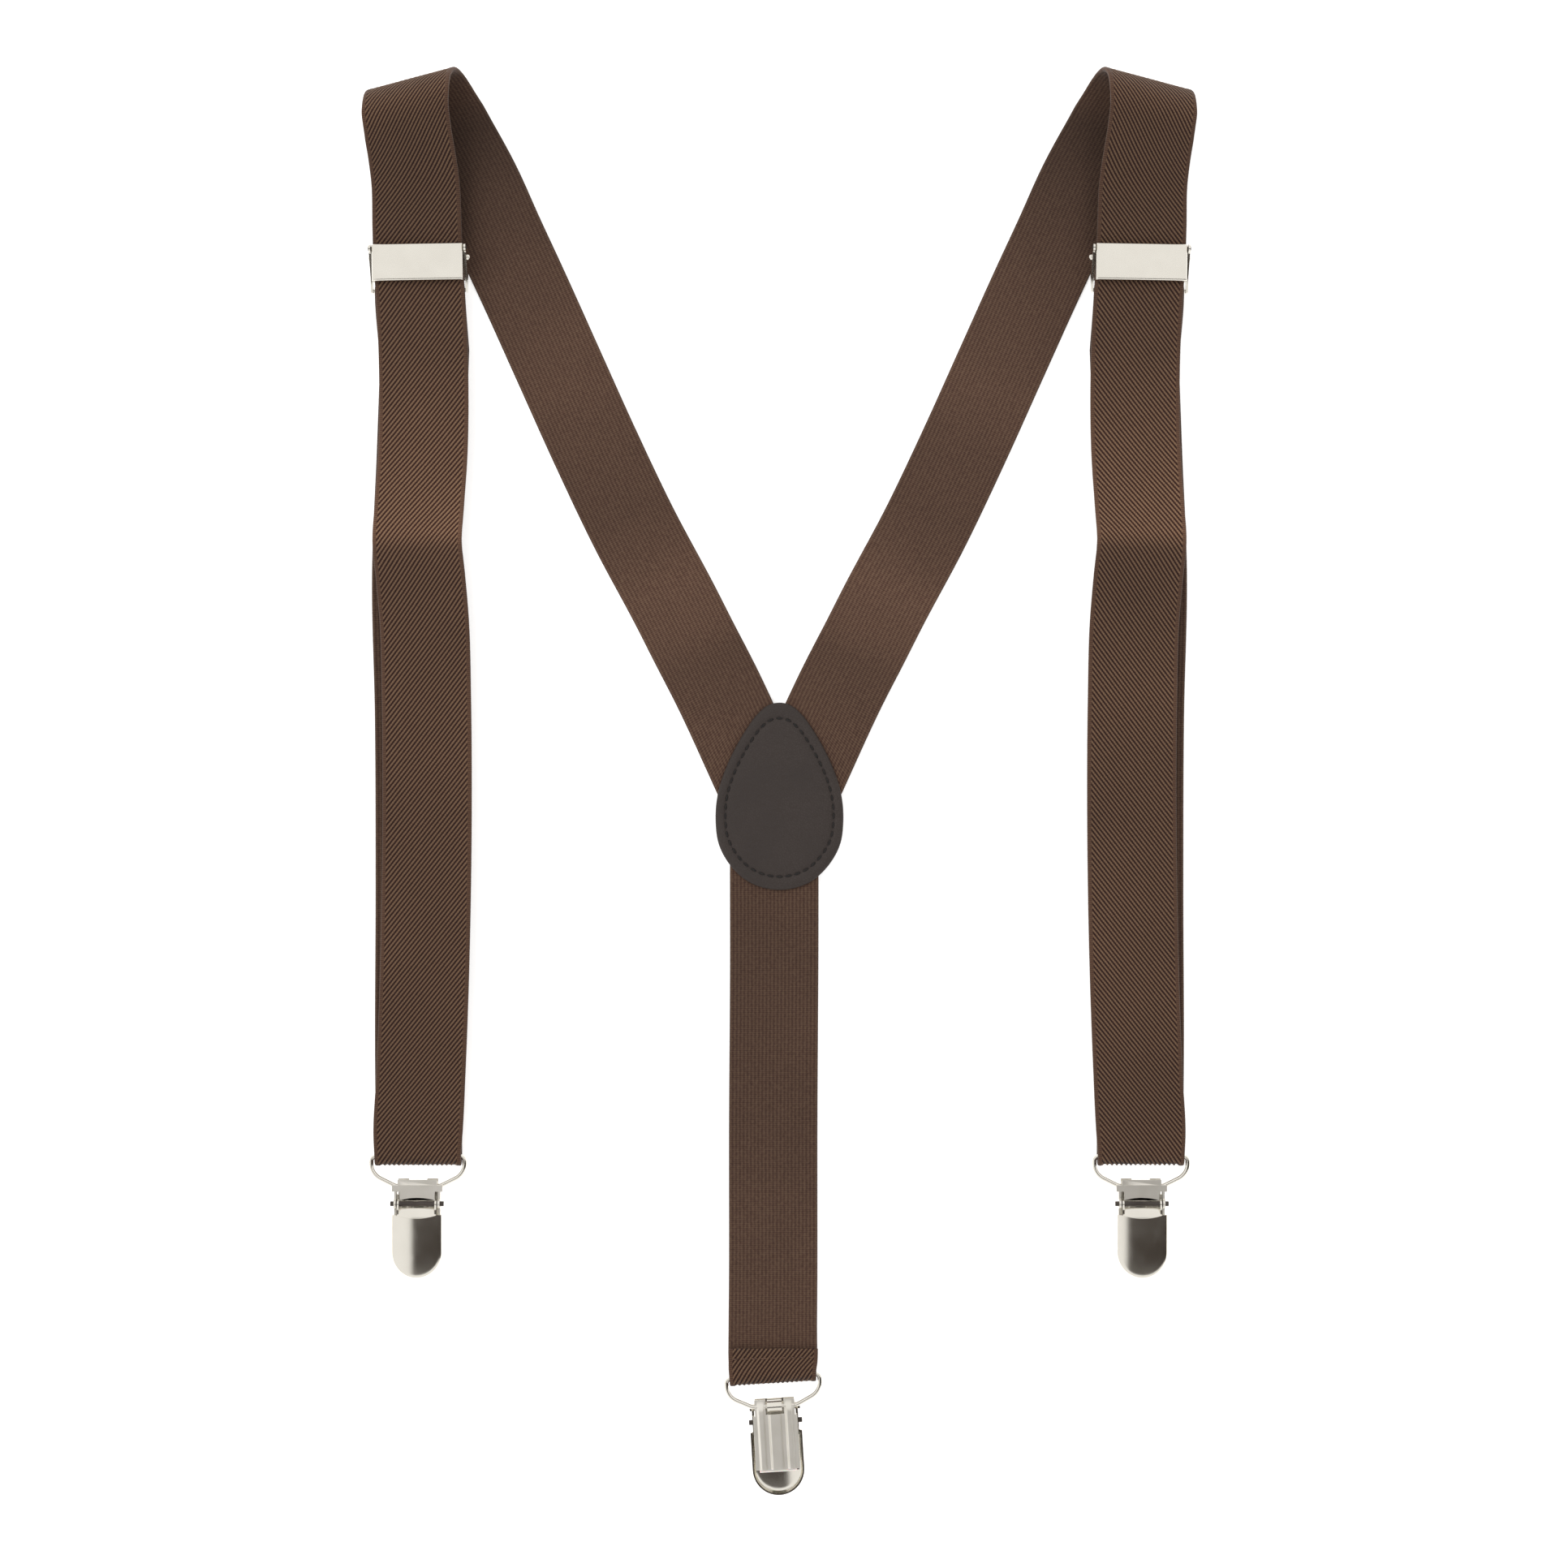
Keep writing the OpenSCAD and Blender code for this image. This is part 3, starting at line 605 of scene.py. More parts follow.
# %% Stations of the shoulder strap
front_run = [(-102.3, -83.85, 4.9, 1.5, WEBBING_W), (-101.3, -59.85, 5.5, 1.0, WEBBING_W),
             (-100.7, -39.85, FRONT_Z, 0.6, WEBBING_W), (-100.3, -8.1, FRONT_Z, 0.2, WEBBING_W),
             (-100.5, 24.2, FRONT_Z, 0.8, WEBBING_W), (-101.1, 46, FRONT_Z, 2.0, WEBBING_W),
             (-102.2, 59, FRONT_Z + 0.2, 3.0, WEBBING_W), (-103.1, 68.5, FRONT_Z + 0.6, 1.0, WEBBING_W),
             (-102.5, 79, FRONT_Z + 0.1, -2.5, WEBBING_W), (-101.5, 94, FRONT_Z, -1.5, WEBBING_W),
             (-101.3, 117.1, FRONT_Z, 0.5, WEBBING_W), (-102.3, 140.3, FRONT_Z, SLIDE_ANGLE, WEBBING_W),
             (-102.85, 147.9, FRONT_Z, SLIDE_ANGLE, WEBBING_W), (-103.2, 158, FRONT_Z, 2.5, WEBBING_W),
             (-103.6, 171.5, 7.1, 6, 25), (-104.2, 178, 10, 11, 24.6), (-104.9, 184.5, 13.3, 15, FOLD_W)]
back_run = [(-96.8, 190.3, LYING_Z, 17, 24.6), (-93.2, 183.6, LYING_Z, 22, 25),
            (-87.4, 172.5, LYING_Z, 26, WEBBING_W),
            (-79.9, 156, LYING_Z, 25, WEBBING_W), (-74, 143.3, LYING_Z, 24.5, WEBBING_W),
            (-63.5, 120, LYING_Z, 24, WEBBING_W), (-53, 96.7, LYING_Z, 24.5, WEBBING_W),
            (-41.9, 73.4, LYING_Z, 26, WEBBING_W), (-29.5, 50.1, LYING_Z, 27.5, WEBBING_W),
            (-25, 41.2, LYING_Z + 0.3, 27, WEBBING_W), (-18, 27.6, PATCH_Z, 27, WEBBING_W),
            (-7.5, 4.9, PATCH_Z, 62.5, WEBBING_W)]
strap_run = [(-103.3, -103.45, FRONT_BAR[2] - BAR_WRAP, 0, HEM_W), *turn_round(FRONT_BAR, 2.05),
             (-103.2, -100.85, FRONT_BAR[2] + BAR_WRAP, 1, WEBBING_W), *front_run,
             *fold_over((-103.9, 199.6), 8, 7.2, 15, 15), *back_run]

# %% Straps
for side, run, lean in (("left", strap_run, 1), ("right", mirrored(strap_run), -1)):
    ribbon = Ribbon(run)
    strap = webbing_mesh("webbing_strap_" + side, ribbon, lean)
    finish_webbing(strap, lean)
    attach(strap, "webbing")
    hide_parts("strap_" + side)


# %% [markdown]
# ## Tails, tail ends and the back strap
# The webbing doesn't stop at the front clip. It goes on as the tail, back up behind the front
# run to the adjuster, turns round the adjuster's lower bar and is sewn to itself. When the
# adjuster slides down, that end goes with it, and the tail between shortens; here the tail is
# one fixed mesh that rides no body. The back strap is a second piece. It starts in the patch,
# turns round the back clip's wire and ends in a short hem with its twill outside.


# %% Stations of the tail
def at_adjuster(stations):
    """Stations drawn round the slot's centre, laid at the left adjuster."""
    c, s = math.cos(math.radians(SLIDE_ANGLE)), math.sin(math.radians(SLIDE_ANGLE))
    return [(SLOT[0] + x * c - y * s, SLOT[1] + x * s + y * c, z, SLIDE_ANGLE, width)
            for x, y, z, angle, width in stations]


TAIL_BAR = (0, -7.2, 3.4)
TAIL_WRAP = 1.3
TAIL_END_Y = -24.2
TAIL_END_X = 0.9
tail_end_run = [(TAIL_END_X, TAIL_END_Y, TAIL_BAR[2] + TAIL_WRAP, 0, WEBBING_W)]
for turn_angle in np.radians(np.arange(180, -1, -20)):
    tail_end_run.append((0, TAIL_BAR[1] + TAIL_WRAP * math.sin(turn_angle),
                         TAIL_BAR[2] - TAIL_WRAP * math.cos(turn_angle), 0, WEBBING_W))
tail_end_run.append((TAIL_END_X, TAIL_END_Y, TAIL_BAR[2] - TAIL_WRAP, 0, WEBBING_W))
tail_end_run = at_adjuster(tail_end_run)
tail_run = [(-101.545, 123.65, 2.1, 2, WEBBING_W), (-102.6, 95, 2, 1.5, WEBBING_W),
            (-104, 60, 1.9, -1, WEBBING_W), (-103.2, 20, 1.8, 0, WEBBING_W), (-103, -30, 1.7, 0, WEBBING_W),
            (-103.2, -80, 1.37, 0, WEBBING_W), (-103.3, -103.35, 1.37, 0, HEM_W)]


def on_side(stations, sign):
    """The ribbon for the left side, or its mirror for the right one."""
    return Ribbon(stations if sign > 0 else mirrored(stations))


# %% Tails
for side, sign in (("left", 1), ("right", -1)):
    ribbon = on_side(tail_run, sign)
    tail = webbing_mesh("webbing_tail_" + side, ribbon, sign)
    finish_webbing(tail, sign)
    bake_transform(tail)
    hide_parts("tail_" + side)
    ribbon = on_side(tail_end_run, sign)
    end = webbing_mesh("webbing_tail_end_" + side, ribbon, sign)
    finish_webbing(end, sign)
    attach(end, "adjuster_" + side)
    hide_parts("tail_end_" + side)

# %% Back strap
HEM_TOP = BACK_BAR[2] + BAR_WRAP
back_strap_run = [(-1.5, -10.5, PATCH_Z, 0, WEBBING_W), (-1.5, -31, PATCH_Z, 0, WEBBING_W),
                  (-1.5, -46, LYING_Z, 0, WEBBING_W), (-1.8, -100, LYING_Z, 0, WEBBING_W),
                  (-1.81, -142.4, LYING_Z, 0, WEBBING_W), (-1.91, -157.4, 1.5, 1, WEBBING_W),
                  (-1.91, -164.4, 2.65, 2.5, WEBBING_W), *turn_round(BACK_BAR, BAR_WRAP, BACK_TURN),
                  (-1.81, -165.1, HEM_TOP - 1.1, 2, WEBBING_W), (-1.71, -161.6, HEM_TOP - 2, 0, WEBBING_W)]
back_ribbon = Ribbon(back_strap_run)
back_strap = webbing_mesh("webbing_back_strap", back_ribbon, 1)
finish_webbing(back_strap, 1)
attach(back_strap, "webbing")
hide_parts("back_strap")

# %% [markdown]
# ## Thread
# A lockstitch shows as a row of short dashes. Each dash comes up out of the material, lies
# along it and goes down again, so here every stitch is a small bent capsule whose two ends
# are sunk. All stitches of one seam are a single mesh.


# %% Thread
def thread_material(name, dark, light):
    material, tree, shader = new_material(name)
    where = node(tree, "TexCoord").outputs["Object"]
    twist = noise(tree, where, 1800, 1)
    tree.links.new(ramp(tree, twist, [(0.3, dark), (0.7, light)]), shader.inputs["Base Color"])
    shader.inputs["Roughness"].default_value = 0.6
    bump(tree, shader, twist, 0.05 * MM)
    return material


dark_thread = thread_material("dark sewing thread", (0.004, 0.003, 0.003), (0.011, 0.008, 0.007))
brown_thread = thread_material("brown sewing thread", (0.045, 0.02, 0.013), (0.12, 0.062, 0.038))


def solid(name, points, faces, material):
    """A mesh object from points in mm."""
    mesh = bpy.data.meshes.new(name)
    mesh.from_pydata([tuple(c * MM for c in p) for p in points], [], faces)
    mesh.polygons.foreach_set("use_smooth", np.ones(len(mesh.polygons), bool))
    mesh.materials.append(material)
    mesh.update()
    cleaned(mesh, 1e-7)
    return show(name, mesh)


# %% One seam as a mesh
def stitches(name, places, length, radius, sink, body, finish):
    """One capsule for each (point, direction along the seam), in mm, as a piece that rides the body."""
    rings, sides = 7, 8
    points, faces = [], []
    for middle, along in places:
        along = Vector(along).normalized()
        across = along.cross(Vector((0, 0, 1))).normalized()
        up = across.cross(along)
        start = len(points)
        for i in range(rings):
            t = i / (rings - 1) * 2 - 1
            centre = Vector(middle) + along * (t * length / 2) - up * (sink * t * t)
            r = radius * math.sqrt(max(1 - abs(t)**4, 0.02))
            for k in range(sides):
                a = 2 * math.pi * k / sides
                points.append(centre + across * (r * math.cos(a)) + up * (r * math.sin(a)))
        for i in range(rings - 1):
            for k in range(sides):
                a, b = start + i * sides + k, start + i * sides + (k + 1) % sides
                faces.append((a, b, b + sides, a + sides))
        faces.append(tuple(start + k for k in range(sides))[::-1])
        faces.append(tuple(start + (rings - 1) * sides + k for k in range(sides)))
    piece = solid(name, points, faces, finish)
    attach(piece, body)
    print(name, len(places), "stitches")
    return piece


# %% Seams in the webbing
def row_of_stitches(name, ribbon, s, half, pitch, body):
    """A seam straight across a ribbon, on its outer face, at s mm along it."""
    places = []
    for i in range(-int(half / pitch), int(half / pitch) + 1):
        v = i * pitch / WEBBING_W
        here = ribbon.place(s, v, WEBBING_T / 2 + 0.02)
        there = ribbon.place(s, v + 0.02, WEBBING_T / 2 + 0.02)
        places.append((here, there - here))
    return stitches(name, places, 2.0, 0.2, 0.18, body, brown_thread)


for side, sign in (("left", 1), ("right", -1)):
    ribbon = on_side(tail_end_run, sign)
    for number, s in enumerate((2.5, 13.0)):
        seam_name = "thread_tail_%s_%d" % (side, number)
        seam = row_of_stitches(seam_name, ribbon, s, 9.8, 2.8, "adjuster_" + side)
        if number == 0:
            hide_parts("tail_stitching_" + side)
hem = row_of_stitches("thread_back_hem", back_ribbon, back_ribbon.length - 2.7, 10.9, 2.7, "webbing")
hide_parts("back_hem_stitching")

# %% [markdown]
# ## The crotch patch
# Two tear-shaped leaves of leatherette hold the three straps between them. Each leaf is soft:
# it is puffed inside the seam, pulled down into a groove where it is sewn, and rounded at its
# rim, and where no strap lies beneath it the rim drops towards the other leaf. The leaf is
# drawn as rings, each the outline made smaller, so that the groove follows the outline.

# %% The patch's outline
PATCH_CENTRE = (0.0, -6.0)
PATCH_SIDE = [(0, 23), (3.3, 22.2), (6.2, 19.8), (9.6, 15.2), (12.9, 9.5), (15.6, 3.6), (17.4, -2),
              (18.2, -7), (18.3, -11), (17.4, -17.5), (13.9, -23.8), (9, -28.2), (3.2, -30.3), (0, -30.6)]
SEAM = 0.845
patch_outline = PATCH_SIDE + [(-x, y) for x, y in PATCH_SIDE[-2:0:-1]]


def closed_curve(corners, count):
    """count points, evenly spaced, on a smooth closed curve through the corners."""
    around = [(*c, 0.0) for c in [*corners[-3:], *corners, *corners[:4]]]
    curve = smooth_through(around, 0.05)
    away = np.linalg.norm(curve[:, :2] - corners[0], axis=1)
    half = len(curve) // 2
    start, end = np.argmin(away[:half]), np.argmin(away[half:]) + half
    loop = curve[start:end, :2]
    at = np.concatenate([[0], np.cumsum(np.linalg.norm(np.diff(loop, axis=0), axis=1))])
    want = np.linspace(0, at[-1], count, endpoint=False)
    return np.stack([np.interp(want, at, loop[:, k]) for k in range(2)], axis=1)


# %% Leatherette
def leatherette_material():
    material, tree, shader = new_material("leatherette")
    where = node(tree, "TexCoord").outputs["Object"]
    grain = node(tree, "TexVoronoi", feature="DISTANCE_TO_EDGE")
    grain.inputs["Scale"].default_value = 1500
    tree.links.new(where, grain.inputs["Vector"])
    pores = maths(tree, "MINIMUM", maths(tree, "MULTIPLY", grain.outputs["Distance"], 4), 1.0)
    worn = noise(tree, where, 90, 3)
    colour = ramp(tree, worn, [(0.3, (0.03, 0.023, 0.021)), (0.7, (0.04, 0.031, 0.028))])
    tree.links.new(mix_colour(tree, pores, (0.03, 0.022, 0.019), colour), shader.inputs["Base Color"])
    tree.links.new(maths(tree, "ADD", maths(tree, "MULTIPLY", worn, 0.2), 0.45), shader.inputs["Roughness"])
    shader.inputs["Specular IOR Level"].default_value = 0.35
    bump(tree, shader, pores, 0.04 * MM)
    return material


leatherette = leatherette_material()
print("leatherette: grain and wear made")


# %% A leaf of the patch
LEAF_TOP = 3.5
LEAF_FOOT = 0.05
RIM_DROP = 0.55
RIM_REACH = 4


def under_patch(x, y):
    """How far a point lies outside the three straps, in mm."""
    run = np.array([0.42, -0.9075])
    slant = [np.abs((x - sign * 7.5) * run[1] - (y - 4.9) * sign * -run[0]) for sign in (-1, 1)]
    outside = np.minimum(*slant) - WEBBING_W / 2
    outside = np.where(y > 1, outside, 99)
    back = np.where(y < -8, np.abs(x + 1.5) - WEBBING_W / 2, 99)
    inside = np.where((y <= 1) & (y >= -8), 0, 99)
    return np.clip(np.minimum(np.minimum(outside, back), inside), 0, None)


def rim_drop(x, y, share):
    """How far the leaf drops beside the straps, at this share of the way to its rim."""
    gap = np.clip(under_patch(x, y) / RIM_REACH, 0, 1)
    return RIM_DROP * gap ** 2 * (3 - 2 * gap) * share**4


def leaf(name, flip):
    """One leaf; flip makes the outer leaf, which lies face down on the table."""
    outline = closed_curve([np.array(c) for c in patch_outline], 220)
    centre = np.array(PATCH_CENTRE)
    top = [(0.0, 0.3), (0.2, 0.29), (0.4, 0.25), (0.55, 0.2), (0.68, 0.13), (0.76, 0.06), (0.81, -0.02),
           (0.83, -0.16), (SEAM, -0.34), (0.86, -0.16), (0.88, 0.0), (0.92, 0.04), (0.955, 0.0),
           (0.98, -0.12), (0.995, -0.32), (1.0, -0.5)]
    under = [(0.995, -0.85), (0.97, -1.05), (0.9, -1.1), (0.6, -1.1), (0.3, -1.1), (0.0, -1.1)]
    points, faces = [], []
    count = len(outline)
    for f, height in top + under:
        ring = centre + (outline - centre) * max(f, 0.004)
        drop = rim_drop(ring[:, 0], ring[:, 1], f)
        z = LEAF_FOOT + max(-height, 0) + drop if flip else LEAF_TOP + height - drop
        points += [(x, y, h) for (x, y), h in zip(ring, z)]
    for i in range(len(top) + len(under) - 1):
        for k in range(count):
            a, b = i * count + k, i * count + (k + 1) % count
            faces.append((a, b, b + count, a + count))
    faces.append(tuple(range(count)))
    faces.append(tuple(range(len(points) - count, len(points)))[::-1])
    piece = solid(name, points, faces, leatherette)
    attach(piece, "webbing")
    return piece, outline


# %% The two leaves
for name, flip, replaced in (("patch_leaf_inside", False, "patch_inner"),
                             ("patch_leaf_outside", True, "patch_outer")):
    piece, outline = leaf(name, flip)
    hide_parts(replaced)

# %% The patch's seam
STITCH_SINK = 0.16
centre = np.array(PATCH_CENTRE)
seam_line = centre + (closed_curve([np.array(c) for c in patch_outline], 46) - centre) * SEAM
seam_places = []
for k, spot in enumerate(seam_line):
    ahead, behind = seam_line[(k + 1) % len(seam_line)], seam_line[k - 1]
    z = LEAF_TOP - STITCH_SINK - float(rim_drop(spot[0], spot[1], SEAM))
    seam_places.append(((spot[0], spot[1], z), (*(ahead - behind), 0)))
seam = stitches("thread_patch_seam", seam_places, 2.0, 0.3, 0.22, "webbing", dark_thread)
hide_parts("patch_stitching")

# %% [markdown]
# ## Nickel plate
# The adjusters, wires and clips are thin steel, pressed and then nickel plated. Plating is
# bright but not a mirror: fine polishing lines run one way and blur the reflection, and the
# roughness changes a little from place to place. The sheet's edges are all slightly round,
# and it's these round edges that catch the light and make the metal look like metal.


# %% Metal finishes
def metal_material(name, colour, worn_colour, roughness, line_scale):
    material, tree, shader = new_material(name)
    where = node(tree, "TexCoord").outputs["Object"]
    stretch = node(tree, "Mapping")
    stretch.inputs["Scale"].default_value = line_scale
    tree.links.new(where, stretch.inputs["Vector"])
    lines = noise(tree, stretch.outputs[0], 1.0, 3)
    cloud = noise(tree, where, 160, 2)
    tree.links.new(ramp(tree, cloud, [(0.3, worn_colour), (0.7, colour)]), shader.inputs["Base Color"])
    shader.inputs["Metallic"].default_value = 1
    varied = maths(tree, "ADD", maths(tree, "MULTIPLY", lines, 0.04), maths(tree, "MULTIPLY", cloud, 0.05))
    tree.links.new(maths(tree, "ADD", varied, roughness - 0.045), shader.inputs["Roughness"])
    bump(tree, shader, lines, 0.0006 * MM)
    return material


POLISHING = (2500, 300, 2500)
nickel = metal_material("nickel plate", (0.9, 0.87, 0.8), (0.86, 0.83, 0.76), 0.17, POLISHING)
satin_nickel = metal_material("satin nickel", (0.92, 0.89, 0.83), (0.87, 0.84, 0.77), 0.36, POLISHING)
# the pins' nickel is painted dark as shade: they sit in the gaps between plates, where shadow falls
shade_dark_nickel = metal_material("nickel darkened as painted shade", (0.12, 0.105, 0.095), (0.07, 0.06, 0.055), 0.35,
                             (1500, 1500, 1500))
print("metals:", [metal.name for metal in (nickel, satin_nickel, shade_dark_nickel)])


# %% Grip finish
def grip_material():
    material, tree, shader = new_material("translucent grip")
    cloud = noise(tree, node(tree, "TexCoord").outputs["Object"], 300, 2)
    milky = ramp(tree, cloud, [(0.3, (0.72, 0.71, 0.67)), (0.7, (0.8, 0.79, 0.75))])
    tree.links.new(milky, shader.inputs["Base Color"])
    shader.inputs["Roughness"].default_value = 0.4
    shader.inputs["Subsurface Weight"].default_value = 0.4
    shader.inputs["Subsurface Scale"].default_value = 0.6 * MM
    bump(tree, shader, cloud, 0.02 * MM)
    return material


grip = grip_material()

# %% [markdown]
# ## Where the hardware sits
# All clips are alike, so each piece is drawn once, in the clip's own frame: x across, y
# towards the webbing, z out through the lever, from the middle of the wire's bottom bar. Then
# it is placed at the left clip, at the right one as its mirror, and at the back one, which lies
# the other way up. The adjusters have a frame of their own in the same way.


# %% From a piece's own frame to its place
CLIP_AT = (-103.4, -115.25, 2.82)
BACK_CLIP_AT = (-1.4, -177.8, 4.4)


def turned(x, y, z, degrees, place):
    """Points turned about z, then moved to a place."""
    c, s = math.cos(math.radians(degrees)), math.sin(math.radians(degrees))
    return np.stack([x * c - y * s + place[0], x * s + y * c + place[1], z + place[2]], axis=1)


def at_clip(points, side):
    p = np.array(points, float)
    if side == "back":
        return turned(-p[:, 0], p[:, 1], -p[:, 2], BACK_TURN, BACK_CLIP_AT)
    return (p + CLIP_AT) * ((-1, 1, 1) if side == "right" else (1, 1, 1))


def at_slot(points, side):
    placed = turned(*np.array(points, float).T, SLIDE_ANGLE, (*SLOT, 0))
    return placed * ((-1, 1, 1) if side == "right" else (1, 1, 1))


# %% Pressed sheet from grids of points
def shell(outer, inner, close_last=True):
    """Points and faces of a bent sheet: two grids of points of one shape, and its edges."""
    rows, columns = outer.shape[:2]
    back = rows * columns
    faces = [*face_grid(rows, columns, 0).tolist(), *face_grid(rows, columns, back).tolist()]
    rim = [range(columns)] + ([range(back - columns, back)] if close_last else [])
    rim += [range(0, back, columns), range(columns - 1, back, columns)]
    for line in rim:
        line = list(line)
        faces += [(a, b, b + back, a + back) for a, b in zip(line, line[1:])]
    return [*outer.reshape(-1, 3), *inner.reshape(-1, 3)], faces


def join(parts):
    """Several (points, faces) as one."""
    points, faces = [], []
    for some_points, some_faces in parts:
        start = len(points)
        points += list(some_points)
        faces += [tuple(i + start for i in face) for face in some_faces]
    return points, faces


def box_part(low, high):
    x, y, z = zip(low, high)
    points = [(x[i], y[j], z[k]) for i in (0, 1) for j in (0, 1) for k in (0, 1)]
    return points, [(0, 1, 3, 2), (4, 6, 7, 5), (0, 4, 5, 1), (2, 3, 7, 6), (0, 2, 6, 4), (1, 5, 7, 3)]


# %% Round edges and placing
ROUND_EDGE = 0.07
SHARP_ANGLE = math.radians(35)


def soft_edges(piece):
    """Small round edges, which pressed sheet always has."""
    edges = piece.modifiers.new("round edges", "BEVEL")
    edges.width = ROUND_EDGE * MM
    edges.segments = 2
    edges.limit_method = "ANGLE"
    edges.angle_limit = SHARP_ANGLE
    edges.harden_normals = True


def metal_piece(name, points, faces, body, node_name, material=nickel):
    piece = solid(name, points, faces, material)
    soft_edges(piece)
    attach(piece, body)
    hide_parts(node_name)
    print(name, len(piece.data.polygons), "faces")


def from_frame(name, body, node_name, material):
    """A CAD node's own shape, with its edges made round, as a piece."""
    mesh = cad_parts[node_name].data.copy()
    mesh.materials.clear()
    mesh.materials.append(material)
    flat = bmesh.new()
    flat.from_mesh(mesh)
    bmesh.ops.remove_doubles(flat, verts=flat.verts, dist=1e-6)
    bmesh.ops.dissolve_limit(flat, angle_limit=math.radians(0.5), verts=flat.verts, edges=flat.edges)
    flat.to_mesh(mesh)
    flat.free()
    mesh.polygons.foreach_set("use_smooth", np.ones(len(mesh.polygons), bool))
    mesh.set_sharp_from_angle(angle=SHARP_ANGLE)
    piece = show(name, mesh)
    soft_edges(piece)
    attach(piece, body)
    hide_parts(node_name)
    print(name, "keeps the frame's shape,", len(mesh.polygons), "faces")


# %% [markdown]
# ## The wire loops
# A length of round wire is bent to a closed loop: a short bottom bar for the clip's hook, two
# shoulders that rise outwards, and a wide top bar for the webbing. The line of the bend is
# made of arcs, and a ring of points is carried along it.

# %% The wire's bends
WIRE_R = 0.65
WIRE_SIDES = 20
LOOP_H = 8.4
LOOP_HALF = 13.35
FOOT_HALF = 6
FOOT_R = 1.5
TOP_R = 1.2
RISE = 26
SIDE_R = 4.8


def arc(centre, r, start, end, count):
    """(x, y, heading) along an arc, where the heading turns from start to end."""
    made = []
    for heading in np.radians(np.linspace(start, end, count)):
        made.append((centre[0] + r * math.sin(heading), centre[1] - r * math.cos(heading), heading))
    return made


def wire_path():
    lean = math.radians(RISE)
    rise = arc((FOOT_HALF, FOOT_R), FOOT_R, 0, RISE, 6)
    side_x = LOOP_HALF - SIDE_R * (1 - math.sin(lean))
    side_y = rise[-1][1] + (side_x - rise[-1][0]) * math.tan(lean)
    side = arc((side_x - SIDE_R * math.sin(lean), side_y + SIDE_R * math.cos(lean)), SIDE_R, RISE, 90, 14)
    right = [*rise, *side, *arc((LOOP_HALF - TOP_R, LOOP_H - TOP_R), TOP_R, 90, 180, 10)]
    return right + [(-x, y, 2 * math.pi - heading) for x, y, heading in reversed(right)]


# %% Wire loops
def wire_mesh():
    path = wire_path()
    points, faces = [], []
    for x, y, heading in path:
        for k in range(WIRE_SIDES):
            a = 2 * math.pi * k / WIRE_SIDES
            out = WIRE_R * math.cos(a)
            points.append((x - out * math.sin(heading), y + out * math.cos(heading), WIRE_R * math.sin(a)))
    for i in range(len(path)):
        for k in range(WIRE_SIDES):
            here, ahead, n = i * WIRE_SIDES, (i + 1) % len(path) * WIRE_SIDES, (k + 1) % WIRE_SIDES
            faces.append((here + k, here + n, ahead + n, ahead + k))
    return points, faces


for side in ("left", "right", "back"):
    points, faces = wire_mesh()
    metal_piece("wire_loop_bent_" + side, at_clip(points, side), faces, "loop_" + side, "wire_loop_" + side)

# %% [markdown]
# ## The clip's lever
# The lever is a pressed tray: crowned across, dropping to its round end, with a rolled edge
# and walls. It is drawn as the tray's outline made smaller ring by ring up to the spine. The
# lip ahead of it and the two ears on the pin belong to the same pressing.

# %% The lever's tray
LEVER_HALF = 7.4
SHOULDER_Y = -7.8
END_Y = -18.6
CROWN_TOP = 4.4
CROWN_R = 23.7
SHEET_T = 0.45
EDGE_R = 1.0
WALL_FOOT = 1.8
LIP_HALF = 5.6
RING_POINTS = 64


def crown(x):
    """Height of the crown over a place across the lever."""
    return CROWN_TOP - CROWN_R + math.sqrt(CROWN_R**2 - x * x)


def lever_surface(inset, sink):
    """Rings from the wall's foot to the spine, the plan made smaller by inset, sunk by sink."""
    depths = [0, 0, 0.08, 0.25, 0.5, 0.8, 1.1, 1.6, 2.4, 3.4, 4.6, 6.0, LEVER_HALF]
    rows = []
    for number, depth in enumerate(depths):
        r = LEVER_HALF - inset - depth * (LEVER_HALF - inset) / LEVER_HALF
        row = []
        shoulder = SHOULDER_Y - 0.9 * max(1 - (r / 5.9) ** 2, 0)
        for k in range(RING_POINTS + 1):
            t = k / RING_POINTS
            if t < 0.3:
                x, y = -r, shoulder + (END_Y - shoulder) * t / 0.3
            elif t > 0.7:
                x, y = r, shoulder + (END_Y - shoulder) * (1 - t) / 0.3
            else:
                a = math.pi * (t - 0.3) / 0.4
                x, y = -r * math.cos(a), END_Y - r * math.sin(a)
            roll = max(EDGE_R - depth, 0)
            drop = EDGE_R - math.sqrt(EDGE_R**2 - roll**2)
            dome = 0.55 * max((-y - 13) / 13, 0) ** 2
            row.append((x, y, WALL_FOOT if number == 0 else crown(x) - drop - dome - sink))
        rows.append(row)
    return np.array(rows)


def lip_surface(sink):
    """The lip between the ears, curling down towards the pin."""
    rows = []
    for t in np.linspace(0, 1, 9):
        y = SHOULDER_Y - 0.9 + 2.8 * t
        row = []
        for x in np.linspace(-LIP_HALF, LIP_HALF, 25):
            edge = 0.5 * (x / LIP_HALF) ** 2 * t
            row.append((x, y - edge, crown(x) - 0.32 - 0.95 * t**2 - sink))
        rows.append(row)
    return np.array(rows)


# %% The lever's ears
PIN = (-4.8, 1.9)
PIN_HOLE_R = 0.79
EAR_R = 1.15


def bands(count, pairs):
    """Quads between pairs of rings that have count points each."""
    return [(a * count + k, a * count + (k + 1) % count, b * count + (k + 1) % count, b * count + k)
            for a, b in pairs for k in range(count)]


